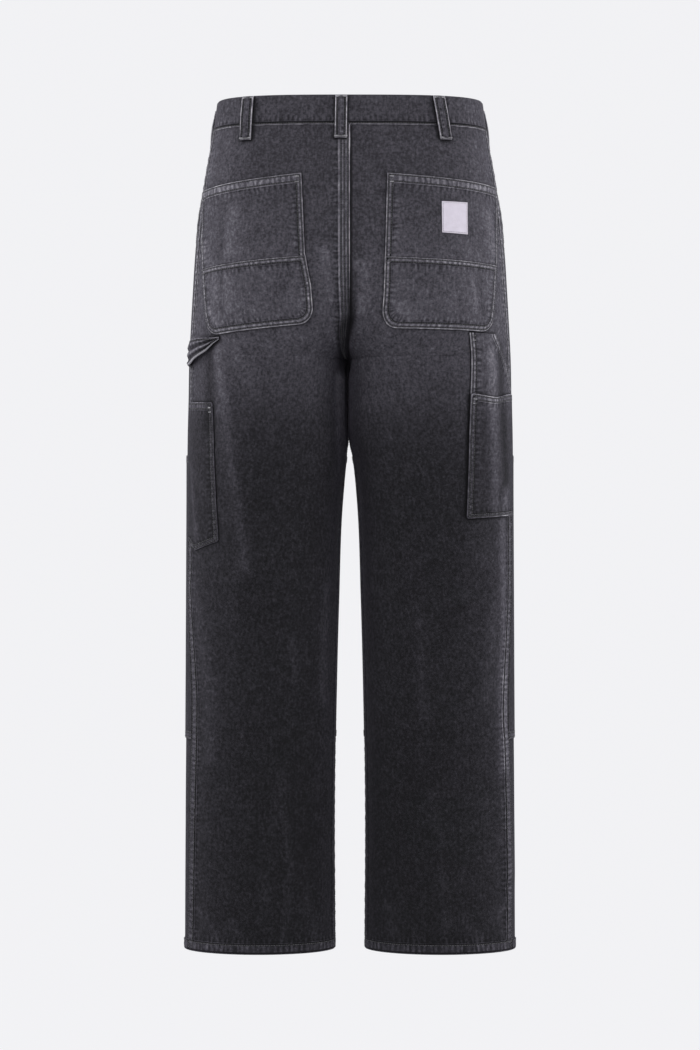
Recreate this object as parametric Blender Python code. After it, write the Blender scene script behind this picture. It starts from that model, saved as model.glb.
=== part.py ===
"""Cargo jeans, filled out as when they are worn.

The back faces -Y and the wearer's right is at +X. The origin is the middle of the waist
opening, half-way up the waistband. Every size below is in millimetres.
"""

from collections import namedtuple
from functools import lru_cache
import math

import bmesh
import bpy
from mathutils import Matrix, Vector
import numpy as np

MM = 0.001

# Cloth and seams
WALL = 1.6
POCKET_WALL = 1.4
PATCH_WALL = 1.6
SEAM_GAP = 0.3
LAYER_GAP = 0.3
FELL_WIDTH = 15.0
FELL_STEP = 1.5
FELL_RAISE = 0.9
SIDE_FELL_WIDTH = 12.0
HEM_DEPTH = 14.0
HEM_STEP = 1.5
HEM_RAISE = 1.0

# Heights
BAND_TOP = 19.0
BAND_BOTTOM = -19.0
CROTCH = -306.0
HEM = -1049.0

# Seat and legs
CROTCH_ROUND = 40.0
PARTING_RISE = 270.0
HALF_GAP = SEAM_GAP / 2
FRONT_DIP = 26.0
LEAN = 0.06
LEAN_HEIGHT = -350.0
LEAN_REACH = 70.0
LEAN_WIDTH = 60.0
DRIFT = 2.0

# One leg and its half of the seat, cut level at each height. Outer and inner are distances
# from the middle plane, back and front are depths from the side line, and seam is the
# outseam's angle round the section, from the side towards the back.
Section = namedtuple("Section", "height outer inner back front side power seam")
SECTIONS = (
    Section(19, 167.5, 0.15, 92, 92, 0, 3.2, -8),
    Section(-19, 172.5, 0.15, 96, 96, -1, 3.0, -9),
    Section(-68, 182, 0.15, 107, 103, -5, 2.7, -11),
    Section(-100, 188, 0.15, 113, 107, -7, 2.5, -13),
    Section(-164, 195, 0.15, 124, 114, -9, 2.35, -15),
    Section(-227, 199, 0.15, 129, 114, -9, 2.3, -17),
    Section(-270, 201.5, 0.15, 129, 108, -6, 2.3, -18),
    Section(-306, 203.5, 0.15, 126, 101, -3, 2.25, -18),
    Section(-354, 204.5, 0.35, 117, 93, -2, 2.2, -18),
    Section(-400, 205.7, 0.6, 108, 88, -2, 2.2, -18),
    Section(-425, 206, 4.6, 104, 85, -2, 2.2, -18),
    Section(-481, 206.2, 10.2, 95, 80, -2, 2.2, -18),
    Section(-608, 206.8, 15.2, 79, 73, -3, 2.2, -20),
    Section(-735, 207.5, 18.4, 70, 68, -2, 2.15, -27),
    Section(-862, 208.5, 20.3, 64, 63, -1, 2.1, -24),
    Section(-1049, 209.5, 19.5, 62, 62, 0, 2.0, -20),
)

# Rows of points across a panel, each with its height at the outseam and at the middle seam.
# They lie closer together at the middle, where the seat turns into the legs.
PANEL_ROWS = (
    (-45, -45), (-72, -72), (-100, -100), (-130, -130), (-160, -160), (-190, -190),
    (-217, -218), (-239, -241), (-255, -259), (-267, -273), (-277, -284.5), (-286, -292.5),
    (-294, -298.5), (-300, -302.7), (-305, -305.2), (-309, -306), (-318, -313),
    (-332, -328), (-352, -350), (-375, -375), (-400, -400), (-425, -425), (-452, -452),
    (-485, -485), (-530, -530), (-580, -580), (-630, -630), (-685, -685), (-735, -735),
    (-790, -790), (-845, -845), (-900, -900), (-965, -965),
)
OUTER_SPREAD = 190.0
INNER_LEAST = 45.0
OUTER_COLUMNS = 7
INNER_COLUMNS = 5

# The largest folds. Each runs between two points of the surface, which are given by their
# distance from the middle plane and their height; a negative depth is a trough.
Fold = namedtuple("Fold", "side face start end width depth")
FOLDS = (
    Fold(-1, "back", (163, -318), (150, -430), 20, 3.0),
    Fold(-1, "back", (150, -430), (128, -572), 22, 3.5),
    Fold(-1, "back", (192, -592), (172, -722), 18, 3.0),
    Fold(-1, "back", (172, -722), (173, -805), 18, 2.5),
    Fold(-1, "back", (96, -640), (74, -760), 24, -2.5),
    Fold(-1, "back", (88, -830), (110, -1010), 22, 2.0),
    Fold(-1, "back", (28, -190), (13, -256), 14, 2.5),
    Fold(1, "back", (172, -330), (184, -455), 20, 3.0),
    Fold(1, "back", (183, -585), (168, -728), 18, 3.0),
    Fold(1, "back", (186, -785), (200, -950), 18, 2.5),
    Fold(1, "back", (88, -632), (96, -760), 24, 2.5),
    Fold(1, "back", (102, -850), (122, -1010), 22, 2.0),
    Fold(1, "back", (16, -200), (14, -250), 14, 2.0),
    Fold(-1, "front", (120, -150), (30, -232), 16, 2.5),
    Fold(-1, "front", (150, -245), (40, -300), 18, 3.0),
    Fold(-1, "front", (185, -540), (80, -590), 20, 3.5),
    Fold(-1, "front", (40, -700), (150, -745), 22, 3.0),
    Fold(-1, "front", (112, -820), (118, -1000), 22, 2.0),
    Fold(1, "front", (128, -160), (36, -238), 16, 2.5),
    Fold(1, "front", (156, -262), (46, -306), 18, 2.5),
    Fold(1, "front", (60, -560), (180, -602), 20, 3.0),
    Fold(1, "front", (190, -690), (70, -728), 22, 3.0),
    Fold(1, "front", (104, -830), (112, -1000), 22, 2.0),
)

# Waistband, an open strip whose left end laps over its right end at the front.
BAND_INSIDE = -2.6
BAND_OUTSIDE = 0.6
BAND_SPACING = 9.5
UNDER_END = 25.0
OVER_END = 4.0
LAP_LIFT = 3.8
LAP_START = 48.0
LAP_FULL = 31.0

# Belt loops. Along is the distance round the waist from the middle of the back, as a share
# of the way to the front; slant is how far the lower end moves away from the middle, foot
# is how far it lies out to clear a raised seam, and bow is how far the loop stands off.
BeltLoop = namedtuple("BeltLoop", "name side along slant foot bow")
BELT_LOOPS = (
    BeltLoop("belt_loop_back_centre", -1, 0.024, 0.0, 1.4, 3.4),
    BeltLoop("belt_loop_back_left", -1, 0.288, 2.0, 0.5, 3.6),
    BeltLoop("belt_loop_back_right", 1, 0.245, 5.0, 0.5, 3.6),
    BeltLoop("belt_loop_side_left", -1, 0.560, 0.0, 0.5, 3.8),
    BeltLoop("belt_loop_side_right", 1, 0.560, 0.0, 0.5, 3.8),
    BeltLoop("belt_loop_front_left", -1, 0.825, 0.0, 0.5, 3.6),
    BeltLoop("belt_loop_front_right", 1, 0.825, 0.0, 0.5, 3.6),
)
LOOP_WIDTH = 16.0
LOOP_WALL = 2.4
LOOP_TOP = 18.5
LOOP_BOTTOM = -37.0
LOOP_ROWS = 10
LOOP_SEAT = 1.0

# Patches. Across is the distance from the panel's middle seam or outseam, along the cloth.
# Each outline goes round against the clock as it lies in the flat panel.
Corner = namedtuple("Corner", "across height")
BACK_POCKET_CORNERS = (0, 24, 15, 0)
Pocket = namedtuple("Pocket", "side top_inner bottom_inner bottom_outer top_outer seam")
BACK_POCKETS = (
    Pocket(1, Corner(45.5, -81), Corner(41, -275), Corner(190, -275), Corner(211, -92), (-185, -193)),
    Pocket(-1, Corner(60, -81), Corner(45, -264), Corner(191, -281), Corner(213, -96), (-184, -200)),
)
SEAM_REACH = 215.0

Patch = namedtuple("Patch", "name side layer outline radii")
TOOL_POCKETS = (
    Patch("tool_pocket_right_large", 1, 0,
          ((1, -502), (76, -502), (97, -278), (66, -278), (1, -348)), (0, 3, 0, 0, 0)),
    Patch("tool_pocket_right_small", 1, 1,
          ((1, -500), (80, -504), (90, -351), (1, -349)), (0, 4, 3, 0)),
    Patch("tool_pocket_left", -1, 0,
          ((1, -532), (22, -544), (58, -533), (67, -362), (1, -360)), (0, 0, 4, 3, 0)),
)

LABEL_OUTLINE = ((113, -155.5), (147.5, -156.5), (148, -116), (113, -116))
LABEL_WALL = 0.9

MOUTH_WIDTH = 75.0
MOUTH_HEIGHT = -175.0
FACING_MARGIN = 18.0

KNEE_TOP = -425.0
KNEE_BOTTOM = -782.0
KNEE_REACH = 400.0

FLY_WIDTH = 38.0
FLY_BOTTOM = -168.0
FLY_CORNER = 30.0

BUTTON_RADIUS = 8.5
BUTTON_RIM = 7.2
BUTTON_DEPTH = 2.6
BUTTON_ACROSS = 9.0
BUTTON_SIDES = 20

# Hammer loop, a strap from below the left back pocket to the outseam. Each station gives its
# distance from the outseam, the heights of the strap's two edges and how far it stands off.
Station = namedtuple("Station", "across upper lower off")
HAMMER_STATIONS = (
    Station(84, -284.5, -290, 0.5),
    Station(76, -283.5, -297, 2.5),
    Station(66, -283.5, -303, 5.5),
    Station(55, -284, -308, 8.0),
    Station(43, -285.5, -312, 9.0),
    Station(31, -288, -316, 8.6),
    Station(20, -291, -319, 6.6),
    Station(10, -293.5, -321, 3.6),
    Station(2, -295, -322, 1.4),
)
HAMMER_WALL = 2.4
HAMMER_RIDGES = (0.0, 1.2, -0.4, 0.9, 0.0)


def column_values(column):
    """The heights of the sections, from low to high, with one of their sizes."""
    rows = sorted(SECTIONS, key=lambda row: row.height)
    heights = np.array([row.height for row in rows], float)
    values = np.array([getattr(row, column) for row in rows], float)
    return heights, values


@lru_cache(maxsize=None)
def size_at(column, height):
    """One size of the section at a height, on a smooth curve through the table's rows."""
    heights, values = column_values(column)
    slopes = np.gradient(values, heights)
    place = min(max(height, heights[0]), heights[-1])
    index = min(int(np.searchsorted(heights, place, side="right")) - 1, len(heights) - 2)
    step = heights[index + 1] - heights[index]
    share = (place - heights[index]) / step
    square = share * share
    cube = square * share
    start = values[index] * (2 * cube - 3 * square + 1)
    end = values[index + 1] * (3 * square - 2 * cube)
    lean_start = slopes[index] * step * (cube - 2 * square + share)
    lean_end = slopes[index + 1] * step * (cube - square)
    return float(start + end + lean_start + lean_end)


@lru_cache(maxsize=None)
def leg_section(height):
    """The section's centre and its half widths on the inner and the outer side.

    Below the crotch it is one leg's ring. Above it, the centre moves to the middle plane and
    the inner half widens, so that the rings of both legs meet in the seat's seam.
    """
    outer = size_at("outer", height)
    inner = size_at("inner", height)
    rise = height - CROTCH
    if rise <= 0:
        half = (outer - inner) / 2
        return inner + half, half, half
    share = min(rise / PARTING_RISE, 1.0)
    centre = outer / 2 * (1 - share * share * (3 - 2 * share))
    power = size_at("power", height)
    depth = math.sqrt(1 - math.exp(-rise / CROTCH_ROUND))
    narrow = (1 - depth ** power) ** (1 / power)
    return centre, max(centre / narrow, 1.0), outer - centre


@lru_cache(maxsize=None)
def ring(height):
    """Points of the right half's section from the middle of the back to that of the front."""
    centre, inner_half, outer_half = leg_section(height)
    power = size_at("power", height)
    clip = size_at("inner", height) if height <= CROTCH else HALF_GAP
    reach = min(max((centre - clip) / inner_half, 0.0), 1.0)
    turn = math.pi - math.acos(reach ** (power / 2))
    angles = np.linspace(-turn, turn, 1441)
    across = np.cos(angles)
    along = np.sin(angles)
    half = np.where(across < 0, inner_half, outer_half)
    depth = np.where(along < 0, size_at("back", height), size_at("front", height))
    x = centre + half * np.sign(across) * np.abs(across) ** (2 / power)
    y = size_at("side", height) + depth * np.sign(along) * np.abs(along) ** (2 / power)
    x = np.maximum(x, clip)
    runs = np.concatenate(([0.0], np.cumsum(np.hypot(np.diff(x), np.diff(y)))))
    return x, y, runs, angles


def outseam_run(height):
    """How far round the section the outseam lies, from the middle of the back."""
    _, _, runs, angles = ring(height)
    return float(np.interp(math.radians(size_at("seam", height)), angles, runs))


def whole_run(height):
    """The length of the half section, from the middle of the back to that of the front."""
    return float(ring(height)[2][-1])


def field(x, y, height):
    """Zero on the surface, more than zero outside it."""
    centre, inner_half, outer_half = leg_section(height)
    half = inner_half if x < centre else outer_half
    power = size_at("power", height)
    offset = y - size_at("side", height)
    depth = size_at("back", height) if offset < 0 else size_at("front", height)
    return (abs(x - centre) / half) ** power + (abs(offset) / depth) ** power - 1


def outward(x, y, height):
    """The way out of the surface, square to it."""
    step = 0.5
    rise = 2.0
    slope = Vector((
        (field(x + step, y, height) - field(x - step, y, height)) / (2 * step),
        (field(x, y + step, height) - field(x, y - step, height)) / (2 * step),
        (field(x, y, height + rise) - field(x, y, height - rise)) / (2 * rise),
    ))
    if height >= BAND_BOTTOM - 1 or height <= HEM + 1:
        slope.z = 0.0
    return slope.normalized()


def surface_point(side, face, across, height):
    """The point of a face of the surface at a distance from the middle plane."""
    x, y, _, angles = ring(height)
    chosen = angles <= 0 if face == "back" else angles >= 0
    order = np.argsort(x[chosen])
    depth = float(np.interp(across, x[chosen][order], y[chosen][order]))
    return Vector((side * across, depth, height))


def fold_lines():
    """The folds with their ends as points in space."""
    for fold in FOLDS:
        start = surface_point(fold.side, fold.face, *fold.start)
        end = surface_point(fold.side, fold.face, *fold.end)
        yield fold, start, end - start


def fold_height(point, lines):
    """How far the highest fold and the deepest trough nearby move a point of the surface."""
    crest = 0.0
    trough = 0.0
    for fold, start, line in lines:
        share = min(max((point - start).dot(line) / line.length_squared, 0.0), 1.0)
        distance = (point - start - line * share).length
        if distance < 3 * fold.width:
            lift = fold.depth * math.exp(-(distance / fold.width) ** 2)
            crest = max(crest, lift)
            trough = min(trough, lift)
    return crest + trough


def spot(side, run, height, lines):
    """A point of the cloth's outer face, and the way out, at a distance from the back's middle."""
    xs, ys, runs, _ = ring(height)
    x = float(np.interp(run, runs, xs))
    y = float(np.interp(run, runs, ys))
    out = outward(x, y, height)
    point = Vector((side * x, y, height))
    out.x *= side
    return point + out * fold_height(point, lines), out


def settle(point, side):
    """Keep a half on its side, lower the front of the waist and lean the thighs together."""
    x, y, z = point
    if side:
        x = side * max(side * x, HALF_GAP)
    height = min(max(z, HEM), BAND_TOP)
    forward = max(y - size_at("side", height), 0.0) / size_at("front", height)
    share = min(max((z - CROTCH) / -CROTCH, 0.0), 1.0)
    drop = FRONT_DIP * forward ** 2 * share * share * (3 - 2 * share)
    window = math.exp(-((z - LEAN_HEIGHT) / LEAN_REACH) ** 4) * math.exp(-(x / LEAN_WIDTH) ** 2)
    return Vector((x + (LEAN * y - DRIFT) * window, y, z - drop))


class Sheet:
    """Triangles in the flat panel, whose points know their place on the surface."""

    def __init__(self):
        self.mesh = bmesh.new()
        self.place = self.mesh.verts.layers.float_vector.new("place")
        self.out = self.mesh.verts.layers.float_vector.new("out")
        self.lift = self.mesh.verts.layers.float.new("lift")

    def add_point(self, across, height, place, out, lift):
        vert = self.mesh.verts.new((across, 0.0, height))
        vert[self.place] = place
        vert[self.out] = out
        vert[self.lift] = lift
        return vert

    def add_grid(self, rows):
        """Join rows of points with triangles."""
        for upper, lower in zip(rows, rows[1:]):
            for index in range(len(upper) - 1):
                self.mesh.faces.new((upper[index], upper[index + 1], lower[index + 1]))
                self.mesh.faces.new((upper[index], lower[index + 1], lower[index]))

    def cut(self, start, end):
        """Cut along a line and keep what lies on its left, seen with the height upwards."""
        line = Vector((end[0] - start[0], 0.0, end[1] - start[1]))
        away = Vector((line.z, 0.0, -line.x))
        geometry = self.mesh.verts[:] + self.mesh.edges[:] + self.mesh.faces[:]
        bmesh.ops.bisect_plane(
            self.mesh, geom=geometry, dist=0.001, plane_co=(start[0], 0.0, start[1]),
            plane_no=away, clear_outer=True)

    def cut_outline(self, points):
        """Keep what lies inside an outline that goes round against the clock."""
        for start, end in zip(points, points[1:] + points[:1]):
            self.cut(start, end)

    def solid(self, name, side, inside, outside, material, flat_back=False):
        """Thicken the sheet between two distances from the surface and add it as an object."""
        body = bmesh.new()
        inner = {}
        outer = {}
        for vert in self.mesh.verts:
            place = vert[self.place]
            out = vert[self.out]
            lift = vert[self.lift]
            back = inside if flat_back else inside + lift
            inner[vert] = body.verts.new(settle(place + out * back, side) * MM)
            outer[vert] = body.verts.new(settle(place + out * (outside + lift), side) * MM)
        for face in self.mesh.faces:
            body.faces.new([outer[vert] for vert in face.verts])
            body.faces.new([inner[vert] for vert in reversed(face.verts)])
        for edge in self.mesh.edges:
            if edge.is_boundary:
                first, second = edge.verts
                body.faces.new((outer[first], outer[second], inner[second], inner[first]))
        add_object(name, body, material)
        self.mesh.free()


def rounded(points, radii, steps=4):
    """An outline with each corner turned into an arc of its radius."""
    outline = []
    count = len(points)
    for index, radius in enumerate(radii):
        corner = Vector(points[index])
        before = (Vector(points[index - 1]) - corner).normalized()
        after = (Vector(points[(index + 1) % count]) - corner).normalized()
        if radius == 0:
            outline.append(tuple(corner))
            continue
        half = before.angle(after) / 2
        turn = math.pi - 2 * half
        centre = corner + (before + after).normalized() * (radius / math.sin(half))
        first = corner + before * (radius / math.tan(half)) - centre
        last = corner + after * (radius / math.tan(half)) - centre
        for step in range(steps + 1):
            passed = turn * step / steps
            spoke = (first * math.sin(turn - passed) + last * math.sin(passed)) / math.sin(turn)
            outline.append(tuple(centre + spoke))
    return outline


def add_object(name, body, material):
    """Turn a bmesh into a named object with its material."""
    bmesh.ops.recalc_face_normals(body, faces=body.faces)
    mesh = bpy.data.meshes.new(name)
    body.to_mesh(mesh)
    body.free()
    mesh.materials.append(material)
    mesh.shade_smooth()
    mesh.set_sharp_from_angle(angle=math.radians(40))
    item = bpy.data.objects.new(name, mesh)
    bpy.context.scene.collection.objects.link(item)
    return item


def plain_material(name, colour, roughness, metallic=0.0):
    """A Principled material of one colour."""
    material = bpy.data.materials.new(name)
    material.use_nodes = True
    shader = material.node_tree.nodes["Principled BSDF"]
    shader.inputs["Base Color"].default_value = (*colour, 1.0)
    shader.inputs["Roughness"].default_value = roughness
    shader.inputs["Metallic"].default_value = metallic
    return material


def panel_length(face, height):
    """The panel's width along the cloth, from its middle seam to the outseam."""
    seam = outseam_run(height)
    return seam if face == "back" else whole_run(height) - seam


def panel_columns(face, height):
    """Distances across a panel from its middle seam, with a close pair at each felled edge."""
    length = panel_length(face, height)
    if height >= CROTCH:
        turn = length - min(OUTER_SPREAD, length - INNER_LEAST)
    else:
        turn = length * (1 - OUTER_SPREAD / panel_length(face, CROTCH))
    fell = FELL_WIDTH + FELL_STEP
    side_fell = length - SIDE_FELL_WIDTH - FELL_STEP
    inner = np.linspace(fell, turn, INNER_COLUMNS)
    outer = np.linspace(turn, side_fell, OUTER_COLUMNS)
    columns = [HALF_GAP, *inner, *outer[1:], length - HALF_GAP]
    if face == "back":
        columns.insert(1, FELL_WIDTH)
        columns.insert(-1, length - SIDE_FELL_WIDTH)
    return columns


def raised(side, face, column, count, height):
    """How far the felled seams and the hem raise the panel's outer face."""
    if height <= HEM + HEM_DEPTH:
        return HEM_RAISE
    if face == "front":
        return 0.0
    if column <= 1 and (side < 0 or height < KNEE_TOP):
        return FELL_RAISE
    if column >= count - 2:
        return FELL_RAISE
    return 0.0


@lru_cache(maxsize=None)
def panel_points(side, face):
    """Rows of points of a panel: distance from the middle seam, width, place, out and lift."""
    lines = tuple(fold_lines())
    top = BAND_BOTTOM - HALF_GAP
    step = HEM + HEM_DEPTH
    ends = ((step + HEM_STEP,) * 2, (step,) * 2, (HEM,) * 2)
    rows = []
    for at_outseam, at_middle in ((top, top), *PANEL_ROWS, *ends):
        count = len(panel_columns(face, at_outseam))
        row = []
        for index in range(count):
            weight = (1 - index / (count - 1)) ** 2
            height = at_outseam + (at_middle - at_outseam) * weight
            distance = panel_columns(face, height)[index]
            run = distance if face == "back" else whole_run(height) - distance
            place, out = spot(side, run, height, lines)
            lift = raised(side, face, index, count, height)
            row.append((distance, panel_length(face, height), height, place, out, lift))
        rows.append(row)
    return rows


def panel_sheet(side, face, from_outseam):
    """A whole leg panel with half the seat, set out from its middle seam or its outseam."""
    sheet = Sheet()
    rows = []
    for points in panel_points(side, face):
        row = []
        for distance, length, height, place, out, lift in points:
            across = length - distance if from_outseam else distance
            row.append(sheet.add_point(across, height, place, out, lift))
        rows.append(row)
    sheet.add_grid(rows)
    return sheet


def add_panels(denim):
    """Back and front panels; a slanted pocket mouth is cut from each front."""
    mouth_top = (MOUTH_WIDTH, BAND_BOTTOM)
    mouth_foot = (0.0, MOUTH_HEIGHT)
    facing_top = (MOUTH_WIDTH + FACING_MARGIN, BAND_BOTTOM)
    facing_foot = (FACING_MARGIN, MOUTH_HEIGHT)
    below = MOUTH_HEIGHT - FACING_MARGIN
    depth = WALL + LAYER_GAP
    for side, label in ((-1, "left"), (1, "right")):
        back = panel_sheet(side, "back", False)
        back.solid(f"back_panel_{label}", side, -WALL, 0.0, denim, flat_back=True)
        front = panel_sheet(side, "front", True)
        front.cut(mouth_top, mouth_foot)
        front.solid(f"front_panel_{label}", side, -WALL, 0.0, denim, flat_back=True)
        facing = panel_sheet(side, "front", True)
        facing.cut(facing_foot, facing_top)
        facing.cut((0.0, below), (MOUTH_WIDTH, below))
        facing.solid(f"front_pocket_facing_{label}", side, -depth - WALL, -depth, denim)


def add_back_pockets(denim):
    """Two large patch pockets, each of an upper and a lower piece that meet in a seam."""
    for pocket in BACK_POCKETS:
        label = "right" if pocket.side > 0 else "left"
        outline = rounded(
            [pocket.top_inner, pocket.bottom_inner, pocket.bottom_outer, pocket.top_outer],
            BACK_POCKET_CORNERS)
        for piece, shift in (("upper", HALF_GAP), ("lower", -HALF_GAP)):
            inner = (0.0, pocket.seam[0] + shift)
            outer = (SEAM_REACH, pocket.seam[1] + shift)
            sheet = panel_sheet(pocket.side, "back", False)
            sheet.cut_outline(outline)
            if piece == "upper":
                sheet.cut(inner, outer)
            else:
                sheet.cut(outer, inner)
            name = f"back_pocket_{label}_{piece}"
            sheet.solid(name, pocket.side, LAYER_GAP, LAYER_GAP + POCKET_WALL, denim)


def add_tool_pockets(denim):
    """Narrow patch pockets beside the outseams, the right-hand pair one over the other."""
    for patch in TOOL_POCKETS:
        sheet = panel_sheet(patch.side, "back", True)
        sheet.cut_outline(rounded(patch.outline, patch.radii))
        inside = LAYER_GAP + patch.layer * (POCKET_WALL + LAYER_GAP)
        sheet.solid(patch.name, patch.side, inside, inside + POCKET_WALL, denim)


def add_label(woven):
    """A plain woven label on the upper piece of the right back pocket."""
    sheet = panel_sheet(1, "back", False)
    sheet.cut_outline(list(LABEL_OUTLINE))
    inside = LAYER_GAP + POCKET_WALL + LAYER_GAP
    sheet.solid("label", 1, inside, inside + LABEL_WALL, woven)


def add_knee_panels(denim):
    """A second layer over each knee, from the outseam to the inseam."""
    for side, label in ((-1, "left"), (1, "right")):
        sheet = panel_sheet(side, "front", True)
        sheet.cut((KNEE_REACH, KNEE_TOP), (0.0, KNEE_TOP))
        sheet.cut((0.0, KNEE_BOTTOM), (KNEE_REACH, KNEE_BOTTOM))
        sheet.solid(f"knee_panel_{label}", side, LAYER_GAP, LAYER_GAP + PATCH_WALL, denim)


def add_fly(denim):
    """The fly's outer flap, sewn down in a long curve on the left front."""
    sheet = panel_sheet(-1, "front", False)
    outline = rounded(
        [(0, FLY_BOTTOM), (FLY_WIDTH, FLY_BOTTOM), (FLY_WIDTH, 0), (0, 0)],
        [0, FLY_CORNER, 0, 0])
    sheet.cut_outline(outline)
    sheet.solid("fly", -1, LAYER_GAP, LAYER_GAP + POCKET_WALL, denim)


def waist_spot(distance, height):
    """A point of the waist at a distance from the middle of the back, to either side.

    Past the middle of the front, the point lies on the other half.
    """
    side = 1 if distance > 0 else -1
    whole = whole_run(height)
    run = abs(distance)
    if run > whole:
        side = -side
        run = 2 * whole - run
    return spot(side, run, height, ())


def lap_lift(distance, height):
    """How far the waistband's left end is raised over its right end."""
    to_front = whole_run(height) + distance
    share = min(max((LAP_START - to_front) / (LAP_START - LAP_FULL), 0.0), 1.0)
    return LAP_LIFT * share * share * (3 - 2 * share)


def add_waistband(denim):
    """A straight band round the waist, open at the front where its ends lap."""
    sheet = Sheet()
    length = 2 * whole_run(0.0) + OVER_END + UNDER_END
    count = round(length / BAND_SPACING)
    rows = []
    for height in (BAND_TOP, 0.0, BAND_BOTTOM + HALF_GAP):
        whole = whole_run(height)
        row = []
        for distance in np.linspace(-whole - OVER_END, whole + UNDER_END, count + 1):
            place, out = waist_spot(float(distance), height)
            lift = lap_lift(float(distance), height)
            row.append(sheet.add_point(float(distance), height, place, out, lift))
        rows.append(row)
    sheet.add_grid(rows)
    sheet.solid("waistband", 0, BAND_INSIDE, BAND_OUTSIDE, denim)


def add_belt_loops(denim):
    """Folded strips over the waistband, sewn down above and below it."""
    for loop in BELT_LOOPS:
        sheet = Sheet()
        rows = []
        for share in np.linspace(0.0, 1.0, LOOP_ROWS):
            height = LOOP_TOP + (LOOP_BOTTOM - LOOP_TOP) * float(share)
            middle = loop.along * whole_run(height) + loop.slant * float(share)
            off = LOOP_SEAT + (loop.foot - LOOP_SEAT) * share + loop.bow * math.sin(math.pi * share)
            row = []
            for across in (-LOOP_WIDTH / 2, 0.0, LOOP_WIDTH / 2):
                place, out = waist_spot(loop.side * (middle + across), height)
                row.append(sheet.add_point(across, height, place, out, off))
            rows.append(row)
        sheet.add_grid(rows)
        sheet.solid(loop.name, 0, 0.0, LOOP_WALL, denim)


def add_hammer_loop(denim):
    """A crumpled strap that stands off the left leg between the back pocket and the outseam."""
    sheet = Sheet()
    lines = tuple(fold_lines())
    rows = []
    for station in HAMMER_STATIONS:
        row = []
        for share, ridge in zip(np.linspace(0.0, 1.0, len(HAMMER_RIDGES)), HAMMER_RIDGES):
            height = station.upper + (station.lower - station.upper) * float(share)
            run = outseam_run(height) - station.across
            place, out = spot(-1, run, height, lines)
            lift = station.off + ridge * min(station.off / HAMMER_WALL, 1.0)
            row.append(sheet.add_point(station.across, height, place, out, lift))
        rows.append(row)
    sheet.add_grid(rows)
    sheet.solid("hammer_loop", -1, 0.0, HAMMER_WALL, denim)


def add_button(metal):
    """A domed metal button on the waistband's upper end."""
    off = BAND_OUTSIDE + LAP_LIFT + LAYER_GAP

    def band_point(across, height):
        place, out = waist_spot(BUTTON_ACROSS + across - whole_run(height), height)
        return settle(place + out * off, 0)

    width = band_point(BUTTON_RADIUS, 0.0) - band_point(-BUTTON_RADIUS, 0.0)
    rise = band_point(0.0, BUTTON_RADIUS) - band_point(0.0, -BUTTON_RADIUS)
    out = rise.cross(width).normalized()
    if out.y < 0:
        out.negate()
    centre = band_point(0.0, 0.0) + out * (BUTTON_DEPTH / 2 + LAYER_GAP)
    turn = out.to_track_quat("Z", "Y").to_matrix().to_4x4()
    body = bmesh.new()
    bmesh.ops.create_cone(
        body, cap_ends=True, segments=BUTTON_SIDES, radius1=BUTTON_RADIUS * MM,
        radius2=BUTTON_RIM * MM, depth=BUTTON_DEPTH * MM,
        matrix=Matrix.Translation(centre * MM) @ turn)
    add_object("waist_button", body, metal)


def clear_scene():
    """Remove every object of the scene."""
    for item in list(bpy.data.objects):
        bpy.data.objects.remove(item)


clear_scene()
black_denim = plain_material("black_denim", (0.045, 0.045, 0.05), 0.9)
woven_label = plain_material("woven_label", (0.62, 0.58, 0.48), 0.8)
dark_metal = plain_material("dark_metal", (0.12, 0.11, 0.1), 0.35, 1.0)
add_panels(black_denim)
add_back_pockets(black_denim)
add_tool_pockets(black_denim)
add_label(woven_label)
add_knee_panels(black_denim)
add_fly(black_denim)
add_waistband(black_denim)
add_belt_loops(black_denim)
add_hammer_loop(black_denim)
add_button(dark_metal)
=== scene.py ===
"""Cargo jeans of washed black denim, filled out as when they are worn."""

import math

import bmesh
import bpy
import numpy as np
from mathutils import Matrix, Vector


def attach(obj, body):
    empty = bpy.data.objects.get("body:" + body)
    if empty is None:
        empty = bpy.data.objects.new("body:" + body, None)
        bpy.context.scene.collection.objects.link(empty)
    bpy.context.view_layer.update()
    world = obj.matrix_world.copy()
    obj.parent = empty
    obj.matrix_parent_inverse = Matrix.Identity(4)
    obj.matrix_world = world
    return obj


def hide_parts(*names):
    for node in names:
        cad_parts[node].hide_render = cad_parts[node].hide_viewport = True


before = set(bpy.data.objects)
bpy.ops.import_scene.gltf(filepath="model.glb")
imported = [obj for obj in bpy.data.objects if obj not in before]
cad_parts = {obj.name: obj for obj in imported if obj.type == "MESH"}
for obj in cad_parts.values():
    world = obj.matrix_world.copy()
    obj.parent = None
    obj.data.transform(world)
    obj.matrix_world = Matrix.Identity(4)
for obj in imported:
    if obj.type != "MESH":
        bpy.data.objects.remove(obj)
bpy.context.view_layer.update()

# Studio. The jeans hang in the middle of a round sweep of pale paper, a floor that curves up
# into a wall. It gives them no light of its own. Wide soft lights stand in front of them,
# above, at both sides and behind, and the air of the studio is bright.
view = bpy.context.scene.view_settings
view.view_transform = "Standard"


def add_object(name, data):
    """Put a mesh, light or camera in the scene."""
    thing = bpy.data.objects.new(name, data)
    bpy.context.scene.collection.objects.link(thing)
    return thing


def new_material(name, values):
    """A material with plain values set on its shader, its node tree and the shader."""
    material = bpy.data.materials.new(name)
    material.use_nodes = True
    shader = material.node_tree.nodes["Principled BSDF"]
    for socket, value in values.items():
        shader.inputs[socket].default_value = value
    return material, material.node_tree, shader


camera = add_object("camera", bpy.data.cameras.new("camera"))
camera.data.lens = 91.8
camera.location = (0.0, -3.4, -0.513)
camera.rotation_euler = (math.radians(90), 0.0, 0.0)
bpy.context.scene.camera = camera

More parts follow.
